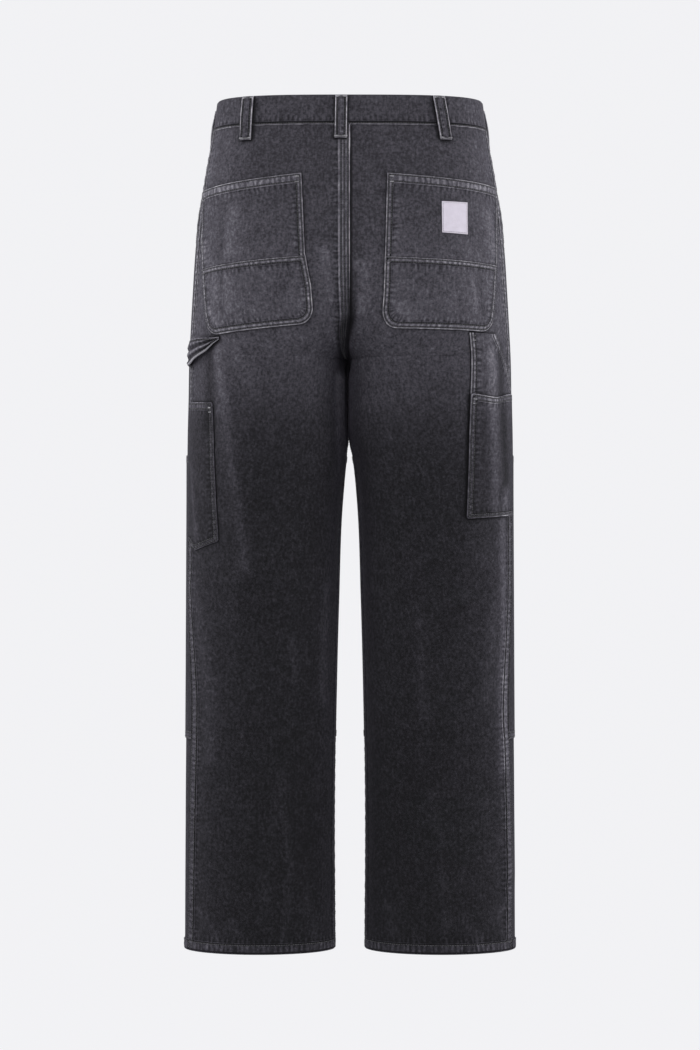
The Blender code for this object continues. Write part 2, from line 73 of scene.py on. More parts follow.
SWEEP_FLOOR = -2.4
SWEEP_WALL = 5.2
SWEEP_TOP = 6.0
SWEEP_BEND = 1.2
SWEEP_MIDDLE = 0.02
BEND_STEPS = 12
SWEEP_SIDES = 64
sweep_profile = [(SWEEP_MIDDLE, SWEEP_FLOOR), (SWEEP_WALL - SWEEP_BEND, SWEEP_FLOOR)]
for step in range(1, BEND_STEPS + 1):
    turn = math.radians(90) * step / BEND_STEPS
    sweep_profile.append((
        SWEEP_WALL - SWEEP_BEND + SWEEP_BEND * math.sin(turn),
        SWEEP_FLOOR + SWEEP_BEND - SWEEP_BEND * math.cos(turn)))
sweep_profile.append((SWEEP_WALL, SWEEP_TOP))
turns = [math.tau * i / SWEEP_SIDES for i in range(SWEEP_SIDES)]
sweep_points = [(radius * math.cos(turn), radius * math.sin(turn), z)
                for radius, z in sweep_profile for turn in turns]
sweep_faces = [
    (row * SWEEP_SIDES + i, row * SWEEP_SIDES + (i + 1) % SWEEP_SIDES,
     (row + 1) * SWEEP_SIDES + (i + 1) % SWEEP_SIDES, (row + 1) * SWEEP_SIDES + i)
    for row in range(len(sweep_profile) - 1) for i in range(SWEEP_SIDES)]
sweep_faces.append(tuple(range(SWEEP_SIDES)))
sweep_mesh = bpy.data.meshes.new("paper_sweep")
sweep_mesh.from_pydata(sweep_points, [], sweep_faces)
sweep_mesh.shade_smooth()
sweep = add_object("paper_sweep", sweep_mesh)
sweep.visible_diffuse = False
sweep.visible_shadow = False
paper, _, _ = new_material("pale_paper", {
    "Base Color": (0.05, 0.05, 0.0505, 1.0), "Roughness": 1.0, "Specular IOR Level": 0.0,
    "Emission Color": (0.885, 0.885, 0.905, 1.0), "Emission Strength": 0.955})
sweep_mesh.materials.append(paper)

world = bpy.data.worlds.new("studio_air")
bpy.context.scene.world = world
world.use_nodes = True
air = world.node_tree.nodes["Background"]
air.inputs["Color"].default_value = (0.93, 0.93, 1.0, 1.0)
air.inputs["Strength"].default_value = 0.62

SOFT_LIGHTS = (
    # name, place, the point it faces, width, height, power
    ("light_front", (-0.5, -3.6, 1.3), (0.0, 0.0, -0.5), 2.2, 2.2, 72),
    ("light_behind", (0.6, 3.6, 1.3), (0.0, 0.0, -0.5), 2.2, 2.2, 60),
    ("light_top", (0.0, -0.9, 2.3), (0.0, 0.0, -0.3), 2.4, 1.6, 32),
    ("light_side_left", (-2.0, -0.5, -0.3), (0.0, 0.0, -0.5), 1.2, 2.6, 36),
    ("light_side_right", (2.0, -0.5, -0.3), (0.0, 0.0, -0.5), 1.2, 2.6, 42),
)
for name, place, target, width, height, power in SOFT_LIGHTS:
    light = add_object(name, bpy.data.lights.new(name, "AREA"))
    light.data.shape = "RECTANGLE"
    light.data.size = width
    light.data.size_y = height
    light.data.energy = power
    light.location = place
    light.rotation_euler = (Vector(target) - Vector(place)).to_track_quat("-Z", "Y").to_euler()

# Leg panels. Two backs and two fronts of stone-washed black denim, each cut in one piece from
# waist to hem, with sizes in millimetres. The backs are felled over the fronts at the outseam
# and the inseam, and the left back over the right one up the middle of the seat.
SECTIONS = np.array([
    # height, outer, inner, back, front, side, power, outseam's angle
    (19, 167.5, 0.15, 92, 92, 0, 3.2, -8),
    (-19, 172.5, 0.15, 96, 96, -1, 3.0, -9),
    (-68, 182, 0.15, 107, 103, -5, 2.7, -11),
    (-100, 188, 0.15, 113, 107, -7, 2.5, -13),
    (-164, 195, 0.15, 124, 114, -9, 2.35, -15),
    (-227, 199, 0.15, 129, 114, -9, 2.3, -17),
    (-270, 201.5, 0.15, 129, 108, -6, 2.3, -18),
    (-306, 203.5, 0.15, 126, 101, -3, 2.25, -18),
    (-354, 204.5, 0.35, 117, 93, -2, 2.2, -18),
    (-400, 205.7, 0.6, 108, 88, -2, 2.2, -18),
    (-425, 206, 4.6, 104, 85, -2, 2.2, -18),
    (-481, 206.2, 10.2, 95, 80, -2, 2.2, -18),
    (-608, 206.8, 15.2, 79, 73, -3, 2.2, -20),
    (-735, 207.5, 18.4, 70, 68, -2, 2.15, -27),
    (-862, 208.5, 20.3, 64, 63, -1, 2.1, -24),
    (-1049, 209.5, 19.5, 62, 62, 0, 2.0, -20),
], float)[::-1]
SECTION_SLOPES = np.gradient(SECTIONS, SECTIONS[:, 0], axis=0)
CROTCH = -306.0
HEM = -1049.0
BAND_TOP = 19.0
BAND_BOTTOM = -19.0
HALF_GAP = 0.15
SEAT_RISE = 270.0
SEAT_ROUND = 40.0
RING_STEPS = 1441


def section_sizes(height):
    """The leg's seven sizes at a height, on a smooth curve through the table."""
    place = min(max(height, SECTIONS[0, 0]), SECTIONS[-1, 0])
    index = min(int(np.searchsorted(SECTIONS[:, 0], place, side="right")) - 1, len(SECTIONS) - 2)
    step = SECTIONS[index + 1, 0] - SECTIONS[index, 0]
    share = (place - SECTIONS[index, 0]) / step
    square = share ** 2
    cube = share ** 3
    sizes = (SECTIONS[index] * (2 * cube - 3 * square + 1)
             + SECTIONS[index + 1] * (3 * square - 2 * cube)
             + SECTION_SLOPES[index] * step * (cube - 2 * square + share)
             + SECTION_SLOPES[index + 1] * step * (cube - square))
    return sizes[1:]


def leg_section(height):
    """Centre and half widths: one leg's ring, or above the crotch half of the seat."""
    outer, inner, back, front, side, power, seam = section_sizes(height)
    rise = height - CROTCH
    if rise <= 0:
        half = (outer - inner) / 2
        return inner + half, half, half, back, front, side, power, seam, inner
    share = min(rise / SEAT_RISE, 1.0)
    centre = outer / 2 * (1 - share * share * (3 - 2 * share))
    depth = math.sqrt(1 - math.exp(-rise / SEAT_ROUND))
    narrow = (1 - depth ** power) ** (1 / power)
    inner_half = max(centre / narrow, 1.0)
    return centre, inner_half, outer - centre, back, front, side, power, seam, HALF_GAP


def leg_ring(height):
    """The right half's section, from the middle of the back round to that of the front."""
    centre, inner_half, outer_half, back, front, side, power, _, clip = leg_section(height)
    reach = min(max((centre - clip) / inner_half, 0.0), 1.0)
    turn = math.pi - math.acos(reach ** (power / 2))
    angles = np.linspace(-turn, turn, RING_STEPS)
    across = np.cos(angles)
    along = np.sin(angles)
    half = np.where(across < 0, inner_half, outer_half)
    depth = np.where(along < 0, back, front)
    x = np.maximum(centre + half * np.sign(across) * np.abs(across) ** (2 / power), clip)
    y = side + depth * np.sign(along) * np.abs(along) ** (2 / power)
    runs = np.concatenate(([0.0], np.cumsum(np.hypot(np.diff(x), np.diff(y)))))
    return x, y, runs, angles


def beyond(x, y, height):
    """Zero on the cloth's surface and more than zero outside it."""
    centre, inner_half, outer_half, back, front, side, power, _, _ = leg_section(height)
    half = np.where(x < centre, inner_half, outer_half)
    depth = np.where(y < side, back, front)
    return (np.abs(x - centre) / half) ** power + (np.abs(y - side) / depth) ** power - 1


LEVELS = np.unique(np.concatenate([
    np.linspace(HEM, CROTCH, 249), np.linspace(CROTCH, BAND_TOP, 119),
    CROTCH + np.array([0.05, 0.2, 0.5, 1.0, 1.8, 4.0, 7.0])]))
SHARES = np.linspace(0.0, 1.0, 521)
WHOLE = np.zeros(len(LEVELS))
OUTSEAM = np.zeros(len(LEVELS))
plain_place = np.zeros((len(LEVELS), len(SHARES), 3))
plain_out = np.zeros_like(plain_place)
for row, level in enumerate(LEVELS):
    ring_x, ring_y, ring_runs, ring_angles = leg_ring(level)
    WHOLE[row] = ring_runs[-1]
    OUTSEAM[row] = np.interp(math.radians(leg_section(level)[7]), ring_angles, ring_runs)
    x = np.interp(SHARES * ring_runs[-1], ring_runs, ring_x)
    y = np.interp(SHARES * ring_runs[-1], ring_runs, ring_y)
    plain_place[row] = np.stack([x, y, np.full_like(x, level)], axis=1)
    plain_out[row, :, 0] = beyond(x + 0.5, y, level) - beyond(x - 0.5, y, level)
    plain_out[row, :, 1] = beyond(x, y + 0.5, level) - beyond(x, y - 0.5, level)
    if HEM + 1 < level < BAND_BOTTOM - 1:
        plain_out[row, :, 2] = (beyond(x, y, level + 2) - beyond(x, y, level - 2)) / 4
plain_out /= np.linalg.norm(plain_out, axis=2, keepdims=True)

# Folds and creases run between two points of one half's back or front: the distance from the
# middle plane and height of both, the width, the depth, below zero for a trough, and how much
# paler the cloth's colour is along it, or darker if it is below zero. That colour is wear with
# painted light: painted highlights on the crests, painted shade in the troughs.
FOLDS = {
    (-1, "back"): (
        (163, -318, 150, -430, 20, 3.0, 0.10), (150, -430, 128, -572, 22, 3.5, 0.10),
        (192, -592, 172, -722, 18, 3.0, 0.08), (172, -722, 173, -805, 18, 2.5, 0.08),
        (96, -640, 74, -760, 24, -2.5, 0.0), (88, -830, 110, -1010, 22, 2.0, 0.05),
        (28, -190, 13, -256, 14, 2.5, 0.10),),
    (1, "back"): (
        (172, -330, 184, -455, 20, 3.0, 0.08), (183, -585, 168, -728, 18, 3.0, 0.08),
        (186, -785, 200, -950, 18, 2.5, 0.08), (88, -632, 96, -760, 24, 2.5, 0.05),
        (102, -850, 122, -1010, 22, 2.0, 0.05), (16, -200, 14, -250, 14, 2.0, 0.10),),
    (-1, "front"): (
        (120, -150, 30, -232, 16, 2.5, 0.15), (150, -245, 40, -300, 18, 3.0, 0.15),
        (185, -540, 80, -590, 20, 3.5, 0.12), (40, -700, 150, -745, 22, 3.0, 0.12),
        (112, -820, 118, -1000, 22, 2.0, 0.05),),
    (1, "front"): (
        (128, -160, 36, -238, 16, 2.5, 0.15), (156, -262, 46, -306, 18, 2.5, 0.15),
        (60, -560, 180, -602, 20, 3.0, 0.12), (190, -690, 70, -728, 22, 3.0, 0.12),
        (104, -830, 112, -1000, 22, 2.0, 0.05),),
}
CREASES = {
    (-1, "back"): (
        (168, -50, 182, -98, 5, 0.8, 0.10), (30, -590, 34, -730, 10, 0.4, 0.09),
        (163, -298, 128, -568, 7, 0.8, 0.16), (171, -290, 173, -392, 9, -0.8, -0.20),
        (196, -440, 190, -532, 5, 1.0, 0.16), (141, -128, 146, -176, 8, 1.8, 0.11),
        (156, -124, 159, -178, 7, -1.4, -0.05), (182, -152, 178, -183, 4, 1.0, 0.16),
        (166, -208, 163, -236, 5, 1.2, 0.10), (149, -210, 147, -250, 6, 1.4, 0.09),
        (157, -212, 155, -250, 4, -1.0, -0.05), (172, -246, 160, -268, 5, 1.4, 0.14),
        (75, -205, 88, -240, 9, -1.4, -0.04), (27, -200, 22, -238, 3.5, 0.8, 0.10),
        (22, -238, 11, -292, 3.5, 0.8, 0.10), (5, -262, 4, -318, 8, -3.6, -0.04),
        (30, -180, 14, -262, 5, 1.0, 0.15), (140, -296, 118, -352, 7, 1.0, 0.06),
        (60, -300, 34, -338, 7, -1.2, 0.0), (72, -654, 68, -706, 5, 0.8, 0.10),
        (88, -824, 76, -937, 5, 0.8, 0.10), (76, -937, 84, -1036, 5, 0.8, 0.08),
        (150, -852, 120, -884, 8, 0.9, 0.04), (186, -998, 164, -1032, 8, 1.4, 0.10),
        (148, -1012, 128, -1040, 7, 1.0, 0.08), (58, -980, 44, -1030, 8, 1.0, 0.08),
        (188, -455, 150, -500, 7, 1.0, 0.06),),
    (1, "back"): (
        (172, -300, 177, -500, 8, 1.5, 0.21), (191, -470, 191, -820, 11, 0.6, 0.24),
        (185, -300, 190, -460, 8, -1.0, -0.22), (148, -208, 153, -252, 4, 1.4, 0.13),
        (160, -214, 163, -252, 5, -1.0, -0.05), (170, -130, 176, -182, 8, 1.6, 0.12),
        (58, -120, 56, -176, 7, 1.0, 0.05), (60, -246, 76, -262, 6, 1.4, 0.10),
        (12, -196, 14, -236, 3.5, 0.8, 0.08), (14, -236, 4, -292, 3.5, 0.8, 0.08),
        (1, -262, 1, -318, 7, -3.6, -0.04), (10, -194, 12, -240, 5, 1.0, 0.12),
        (56, -296, 30, -336, 7, -1.2, 0.0), (86, -630, 92, -754, 5, 0.8, 0.10),
        (100, -848, 113, -902, 5, 0.8, 0.10), (113, -902, 120, -1036, 5, 0.8, 0.08),
        (184, -1005, 200, -976, 7, 1.5, 0.12), (200, -980, 193, -1032, 6, 1.3, 0.10),
        (142, -1004, 160, -1036, 7, 1.0, 0.08), (46, -992, 58, -1036, 8, 1.0, 0.08),
        (150, -540, 178, -566, 8, 0.9, 0.05),),
    (-1, "front"): (
        (86, -188, 22, -262, 6, 1.2, 0.15), (150, -196, 60, -262, 6, 1.0, 0.12),
        (170, -610, 90, -640, 9, 1.4, 0.12), (60, -655, 150, -668, 8, 1.3, 0.10),
        (150, -1000, 120, -1036, 8, 1.2, 0.08),),
    (1, "front"): (
        (92, -200, 26, -270, 6, 1.2, 0.15), (160, -214, 70, -280, 6, 1.0, 0.12),
        (80, -628, 168, -650, 9, 1.4, 0.12), (160, -668, 64, -684, 8, 1.3, 0.10),
        (60, -996, 84, -1036, 8, 1.2, 0.08),),
}


def surface_depth(face, across, height):
    """How far back or forward a face of the surface lies at a distance from the middle."""
    x, y, _, angles = leg_ring(height)
    chosen = angles <= 0 if face == "back" else angles >= 0
    order = np.argsort(x[chosen])
    return float(np.interp(across, x[chosen][order], y[chosen][order]))


WIDEST_WEAR_AND_LIGHT = 9.0
PLACE = {}
OUT = {}
# Colour along folds and creases: wear, with painted highlights on crests and painted shade in
# troughs.
WEAR_AND_PAINTED_LIGHT = {}
for side in (-1, 1):
    place = plain_place * np.array([side, 1, 1])
    out = plain_out * np.array([side, 1, 1])
    lift = np.zeros(place.shape[:2])
    pale = np.zeros_like(lift)
    dark = np.zeros_like(lift)
    for table in (FOLDS, CREASES):
        crest = np.zeros_like(lift)
        trough = np.zeros_like(lift)
        for fold_side, face, x, z, last_x, last_z, width, depth, worn in (
                key + fold for key, folds in table.items() for fold in folds):
            first = np.array([fold_side * x, surface_depth(face, x, z), z])
            last = np.array([fold_side * last_x, surface_depth(face, last_x, last_z), last_z])
            line = last - first
            share = np.clip((place - first) @ line / (line @ line), 0.0, 1.0)
            distance = np.linalg.norm(place - first - share[..., None] * line, axis=2)
            height = depth * np.exp(-(distance / width) ** 2)
            crest = np.maximum(crest, height)
            trough = np.minimum(trough, height)
            trace = worn * np.exp(-(distance / min(width, WIDEST_WEAR_AND_LIGHT)) ** 2)
            pale = np.maximum(pale, trace)
            dark = np.minimum(dark, trace)
        lift += crest + trough
    PLACE[side] = place + out * lift[..., None]
    OUT[side] = out
    WEAR_AND_PAINTED_LIGHT[side] = pale + dark


def whole_run(height):
    """The length round half of the section, from the back's middle to the front's."""
    return np.interp(height, LEVELS, WHOLE)


def outseam_run(height):
    """The distance round the section from the back's middle to the outseam."""
    return np.interp(height, LEVELS, OUTSEAM)


def on_surface(table, side, run, height):
    """Values of a table of the surface at distances round it and heights."""
    rows = np.interp(height, LEVELS, np.arange(len(LEVELS)))
    columns = np.clip(run / whole_run(height), 0.0, 1.0) * (len(SHARES) - 1)
    row = np.minimum(rows.astype(int), len(LEVELS) - 2)
    column = np.minimum(columns.astype(int), len(SHARES) - 2)
    down = (rows - row).reshape(-1, *[1] * (table[side].ndim - 2))
    along = (columns - column).reshape(down.shape)
    values = table[side]
    near = values[row, column] * (1 - along) + values[row, column + 1] * along
    far = values[row + 1, column] * (1 - along) + values[row + 1, column + 1] * along
    return near * (1 - down) + far * down


def smooth_step(low, high, value):
    """A smooth rise from 0 at low to 1 at high."""
    share = np.clip((value - low) / (high - low), 0.0, 1.0)
    return share * share * (3 - 2 * share)


WAIST_DROP = 26.0
THIGHS_MEET = -350.0
MEET_HIGH = 70.0
MEET_WIDE = 60.0


def settle(points, side):
    """Keep a half on its side, drop the waist's front and lean the thighs together."""
    x, y, z = points.T
    x = side * np.maximum(side * x, HALF_GAP)
    level = np.clip(z, HEM, BAND_TOP)
    reach = np.interp(level, SECTIONS[:, 0], SECTIONS[:, 4])
    forward = np.maximum(y - np.interp(level, SECTIONS[:, 0], SECTIONS[:, 5]), 0.0) / reach
    drop = WAIST_DROP * forward ** 2 * smooth_step(CROTCH, 0.0, z)
    window = np.exp(-((z - THIGHS_MEET) / MEET_HIGH) ** 4) * np.exp(-(x / MEET_WIDE) ** 2)
    return np.stack([x + (0.06 * y - 2.0) * window, y, z - drop], axis=1)


def cloth_points(side, run, height, off):
    """Points of the cloth, in metres, some distance off its surface, and the way out.

    A run that goes past the middle of the back or of the front goes on over the other half.
    """
    whole = whole_run(height)
    crossed = (run < 0) | (run > whole)
    run = np.where(run > whole, 2 * whole - run, np.abs(run))
    half = np.where(crossed, -side, side)
    off = np.broadcast_to(off, run.shape)
    place = np.zeros((len(run), 3))
    out = np.zeros((len(run), 3))
    for hand in (-1, 1):
        chosen = half == hand
        out[chosen] = on_surface(OUT, hand, run[chosen], height[chosen])
        place[chosen] = on_surface(PLACE, hand, run[chosen], height[chosen])
        place[chosen] += out[chosen] * off[chosen, None]
    return settle(place, half) * 0.001, out


def run_from(origin, across, height):
    """Distance round the section of a point that is so far across from one of the seams."""
    if origin == "back middle":
        return across
    if origin == "front middle":
        return whole_run(height) - across
    if origin == "outseam to back":
        return outseam_run(height) - across
    return outseam_run(height) + across


def flat_cloth(columns, heights, cuts, loops=()):
    """Flat points and faces of a cut of cloth: a grid, cut along lines, keeping their left.

    Columns gives a row's distances across for its height. Loops are lines that only add
    points, where the cloth has to bend sharply.
    """
    sheet = bmesh.new()
    rows = [[sheet.verts.new((x, 0.0, h)) for x in columns(h)] for h in heights]
    for upper, lower in zip(rows, rows[1:]):
        for i in range(len(upper) - 1):
            sheet.faces.new((upper[i], upper[i + 1], lower[i + 1], lower[i]))
    for (start, end), gone in [(line, True) for line in cuts] + [(line, False) for line in loops]:
        bmesh.ops.bisect_plane(
            sheet, geom=sheet.verts[:] + sheet.edges[:] + sheet.faces[:], dist=0.001,
            plane_co=(start[0], 0.0, start[1]),
            plane_no=(end[1] - start[1], 0.0, start[0] - end[0]), clear_outer=gone)
    sheet.verts.index_update()
    flat = np.array([(v.co.x, v.co.z) for v in sheet.verts])
    faces = [[v.index for v in f.verts] for f in sheet.faces]
    sheet.free()
    return flat, faces


def ripple(along, seed):
    """Uneven puckers along a row of stitching, from about -1 to 1."""
    swell = 0.6 + 0.4 * np.sin(along * 0.131 + 2.0 * seed)
    long = np.sin(along * 0.43 + 1.7 * seed + 1.3 * np.sin(along * 0.057 + seed))
    return (np.sin(along * 0.72 + seed) * swell + long) / 2


BAND_RISE = 0.35
PUCKER_RISE = 0.45
RIM_DROP = 0.55


def hem_relief(along, inset, band, seed):
    """How far a stitched edge stands up: a thicker band with puckers and a rounded rim."""
    inside = smooth_step(0.2, 1.6, inset) * (1 - smooth_step(band - 1.0, band + 1.5, inset))
    lift = inside * (BAND_RISE + PUCKER_RISE * ripple(along + 0.7 * inset, seed))
    return lift - RIM_DROP * (1 - smooth_step(0.0, 1.4, inset)) * (band > 0)


# How light the cloth's colour is, by height: the middle and the sides of the back and of the
# front, and the width and depth of the dark valley that runs down to the crotch. The middles
# are fading. The back's paler sides are fading with painted rim light, the front's darker
# sides unfaded dye with painted shade. The valley is painted shade in the seat's cleft. Where
# its depth is below zero it is a painted light strip instead, inside the left leg alone.
VALLEY_LEAN = 5.0
WASH_AND_PAINTED_LIGHT_TONES = np.array([
    # height, back's middle, its side, front's middle, its side, valley's width, its depth
    (19, 0.37, 0.44, 0.40, 0.40, 20, 0.00),
    (-60, 0.33, 0.45, 0.42, 0.38, 24, 0.00),
    (-150, 0.36, 0.47, 0.48, 0.36, 26, 0.03),
    (-190, 0.41, 0.50, 0.52, 0.34, 24, 0.07),
    (-236, 0.44, 0.49, 0.55, 0.32, 18, 0.18),
    (-262, 0.43, 0.47, 0.57, 0.32, 13.5, 0.34),
    (-286, 0.42, 0.45, 0.58, 0.32, 8, 0.38),
    (-306, 0.41, 0.43, 0.60, 0.32, 3.5, 0.32),
    (-330, 0.38, 0.41, 0.60, 0.32, 9, -0.26),
    (-362, 0.32, 0.36, 0.56, 0.30, 9, -0.20),
    (-386, 0.23, 0.30, 0.52, 0.28, 9, -0.22),
    (-420, 0.16, 0.26, 0.50, 0.26, 12, -0.20),
    (-480, 0.11, 0.24, 0.50, 0.24, 24, -0.10),
    (-600, 0.11, 0.24, 0.54, 0.22, 36, -0.08),
    (-720, 0.10, 0.24, 0.38, 0.20, 38, -0.10),
    (-860, 0.06, 0.20, 0.26, 0.18, 38, -0.08),
    (-1049, 0.06, 0.15, 0.20, 0.16, 38, -0.08),
], float)[::-1]


def washed_and_painted_tone(side, face, run, height):
    """How light the cloth's colour is, from 0 to 1: fading and wear, with painted light and shade.
    """
    across = np.abs(on_surface(PLACE, side, run, height)[:, 0])
    *tones, valley_width, valley_depth = (
        np.interp(height, WASH_AND_PAINTED_LIGHT_TONES[:, 0], column) for column in WASH_AND_PAINTED_LIGHT_TONES.T[1:])
    middle, edge = tones[:2] if face == "back" else tones[2:]
    outer = np.interp(height, SECTIONS[:, 0], SECTIONS[:, 1])
    # Towards the sides: paler on the back from fading and painted rim light, darker on the front
    # from unfaded dye and painted shade.
    light = middle + (edge - middle) * smooth_step(0.5, 0.97, across / outer)
    # Painted shade down the seat's cleft; where the depth is below zero, painted light inside the
    # left leg instead.
    if face == "back":
        if side > 0:
            valley_depth = np.maximum(valley_depth, 0.0)
        from_valley = np.maximum(across + VALLEY_LEAN * side, 0.0) / valley_width
        light = light - valley_depth * (1 - smooth_step(0.6, 1.1, from_valley))
    return light + on_surface(WEAR_AND_PAINTED_LIGHT, side, run, height)


def cloth_shell(side, run, height, high, low):
    """Points of a cloth between two distances off the surface, and the way out."""
    outer, out = cloth_points(side, run, height, high)
    inner, _ = cloth_points(side, run, height, low)
    return outer, inner, out


def add_cloth(node, shell, faces, seam, light, flat, skins=None,
              sharp=50):
    """Make one piece of cloth from its outer and inner points, in place of its solid.
    """
    name = f"{node}_cloth"
    outer, inner, out = shell
    skins = skins or (washed_denim, denim_inside)
    faces = [list(face) for face in faces]
    centre = outer[faces[len(faces) // 2]]
    square = np.cross(centre[1] - centre[0], centre[2] - centre[0])
    if square @ out[faces[len(faces) // 2][0]] < 0:
        faces = [face[::-1] for face in faces]
    directed = {(a, b) for face in faces for a, b in zip(face, face[1:] + face[:1])}
    rim = [(b, a) for a, b in directed if (b, a) not in directed]
    rim.sort()
    count = len(outer)
    closed = faces + [[i + count for i in face[::-1]] for face in faces]
    closed += [[a, b, b + count, a + count] for a, b in rim]
    mesh = bpy.data.meshes.new(name)
    mesh.from_pydata(np.concatenate([outer, inner]).tolist(), [], closed)
    for skin in skins:
        mesh.materials.append(skin)
    looks = np.zeros(len(closed), np.int32)
    looks[len(faces):2 * len(faces)] = len(skins) - 1
    mesh.polygons.foreach_set("material_index", looks)
    seams = np.concatenate([seam, seam * np.array([1.0, 1.0, 0.0])])
    mesh.attributes.new("seam", "FLOAT_VECTOR", "POINT").data.foreach_set("vector", seams.ravel())
    light = np.tile(np.broadcast_to(light, count), 2)
    mesh.attributes.new("light", "FLOAT", "POINT").data.foreach_set("value", light)
    corners = np.empty(len(mesh.loops), np.int32)
    mesh.loops.foreach_get("vertex_index", corners)
    pattern = np.tile(flat * 0.001, (2, 1))[corners]
    mesh.uv_layers.new(name="cut").data.foreach_set("uv", pattern.ravel())
    mesh.shade_smooth()
    mesh.set_sharp_from_angle(angle=math.radians(sharp))
    piece = add_object(name, mesh)
    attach(piece, "root")
    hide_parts(node)


def wire(tree, kind, settings, inputs):
    """Add a shader node, set it and join what feeds it."""
    node = tree.nodes.new(kind)
    for key, value in settings.items():
        setattr(node, key, value)
    for key, value in inputs.items():
        if isinstance(value, bpy.types.NodeSocket):
            tree.links.new(value, node.inputs[key])
        else:
            node.inputs[key].default_value = value
    return node.outputs[0]


def sum_of(tree, operation, first, second, third=0.0):
    """One arithmetic node."""
    return wire(tree, "ShaderNodeMath", {"operation": operation}, {0: first, 1: second, 2: third})


def with_parts(tree, total, parts):
    """A value with others added to it, each times its strength."""
    for part, strength in parts:
        total = sum_of(tree, "MULTIPLY_ADD", part, strength, total)
    return total


def ramp_of(tree, value, low, high, bottom=0.0, top=1.0):
    """A smooth rise between two values."""
    return wire(tree, "ShaderNodeMapRange", {"interpolation_type": "SMOOTHSTEP"}, {
        "Value": value, "From Min": low, "From Max": high, "To Min": bottom, "To Max": top})


def noise_of(tree, place, scale, detail, rough=0.5):
    """An uneven value from 0 to 1."""
    return wire(tree, "ShaderNodeTexNoise", {}, {
        "Vector": place, "Scale": scale, "Detail": detail, "Roughness": rough})


def cut_place(tree):
    """A point's place on its piece's flat pattern."""
    return wire(tree, "ShaderNodeUVMap", {"uv_map": "cut"}, {})


def body_place(tree):
    """A point's place on the whole garment."""
    return wire(tree, "ShaderNodeTexCoord", {}, {}).node.outputs["Object"]


def colour_of(tree, value, dark, pale, low=0.0, high=1.0):
    """A colour that runs from dark at the value low to pale at the value high."""
    colour = wire(tree, "ShaderNodeValToRGB", {}, {"Fac": value})
    for stop, place, shade in zip(colour.node.color_ramp.elements, (low, high), (dark, pale)):
        stop.position = place
        stop.color = (*shade, 1.0)
    return colour


def dress(tree, shader, colour, height, strength, distance):
    """Join a colour and a fine relief to a shader."""
    tree.links.new(colour, shader.inputs["Base Color"])
    tree.links.new(wire(tree, "ShaderNodeBump", {}, {
        "Height": height, "Strength": strength, "Distance": distance}), shader.inputs["Normal"])


# The denim's right side: dark warp twill, paler where washing has rubbed it. Each sewn edge
# has a light rim, dark grooves where its stitches pull it in, and between and beyond them
# puckers, whose tops are rubbed light. The grooves are dark partly from dye kept in them and
# partly as painted shade. A broad hem has a second light line over its fold. Painted shade
# also darkens a thin line past each band and, by ambient occlusion, corners and the cloth
# beside raised edges.
washed_denim, tree, shader = new_material("washed_black_denim", {
    "Roughness": 0.92, "Specular IOR Level": 0.12, "Sheen Weight": 0.05, "Sheen Roughness": 0.45,
    "Sheen Tint": (0.72, 0.66, 0.86, 1.0)})
light_value = wire(
    tree, "ShaderNodeAttribute", {"attribute_name": "light"}, {}).node.outputs["Fac"]
seam_value = wire(
    tree, "ShaderNodeAttribute", {"attribute_name": "seam"}, {}).node.outputs["Vector"]
seam_split = wire(tree, "ShaderNodeSeparateXYZ", {}, {"Vector": seam_value}).node
along_value, inset_value, band_value = seam_split.outputs
slub = noise_of(tree, wire(
    tree, "ShaderNodeMapping", {}, {"Vector": cut_place(tree), "Scale": (380, 90, 1)}), 1.0, 3.0)
grain = noise_of(tree, body_place(tree), 270.0, 3.0, 0.75)
cloud = noise_of(tree, body_place(tree), 55.0, 5.0, 0.65)
twill = wire(tree, "ShaderNodeTexWave", {"bands_direction": "DIAGONAL"}, {
    "Vector": cut_place(tree), "Scale": 480.0, "Distortion": 1.2, "Detail": 1.0,
    "Detail Scale": 2.0})


def near(value, middle, core, reach):
    """One at a value and down to zero beside it."""
    gap = sum_of(tree, "ABSOLUTE", sum_of(tree, "SUBTRACT", value, middle), 0.0)
    return sum_of(tree, "MULTIPLY", ramp_of(tree, gap, core, reach, 1.0, 0.0), sewn)


def both(first, second):
    """The product of two values."""
    return sum_of(tree, "MULTIPLY", first, second)


sewn = ramp_of(tree, band_value, 0.5, 1.0)
past_band = sum_of(tree, "SUBTRACT", inset_value, band_value)
uneven_place = wire(tree, "ShaderNodeCombineXYZ", {}, {
    "X": both(along_value, 0.07), "Y": both(inset_value, 0.03), "Z": band_value})
uneven = noise_of(tree, uneven_place, 1.0, 3.0)
pucker = sum_of(tree, "SINE", with_parts(tree, both(uneven, 14.0), ((along_value, 0.92),)), 0.0)
pucker = both(pucker, ramp_of(tree, uneven, 0.34, 0.60, 0.35, 1.0))
felled = ramp_of(tree, band_value, 13.3, 13.5)
wear = ramp_of(tree, uneven, 0.30, 0.60, 0.6, 1.0)
wear = both(wear, sum_of(tree, "MULTIPLY_ADD", light_value, 0.8, 0.6))
rim = both(both(ramp_of(tree, inset_value, 0.9, 1.9, 1.0, 0.0), sewn), wear)
line = both(both(near(past_band, 0.3, 0.35, 1.2), ramp_of(tree, band_value, 7.4, 7.9)), wear)
# Painted shade, with dye kept in them: dark lines along the stitch rows.
groove = sum_of(
    tree, "MAXIMUM", near(inset_value, 2.2, 0.35, 1.1), near(past_band, -0.6, 0.45, 1.4))
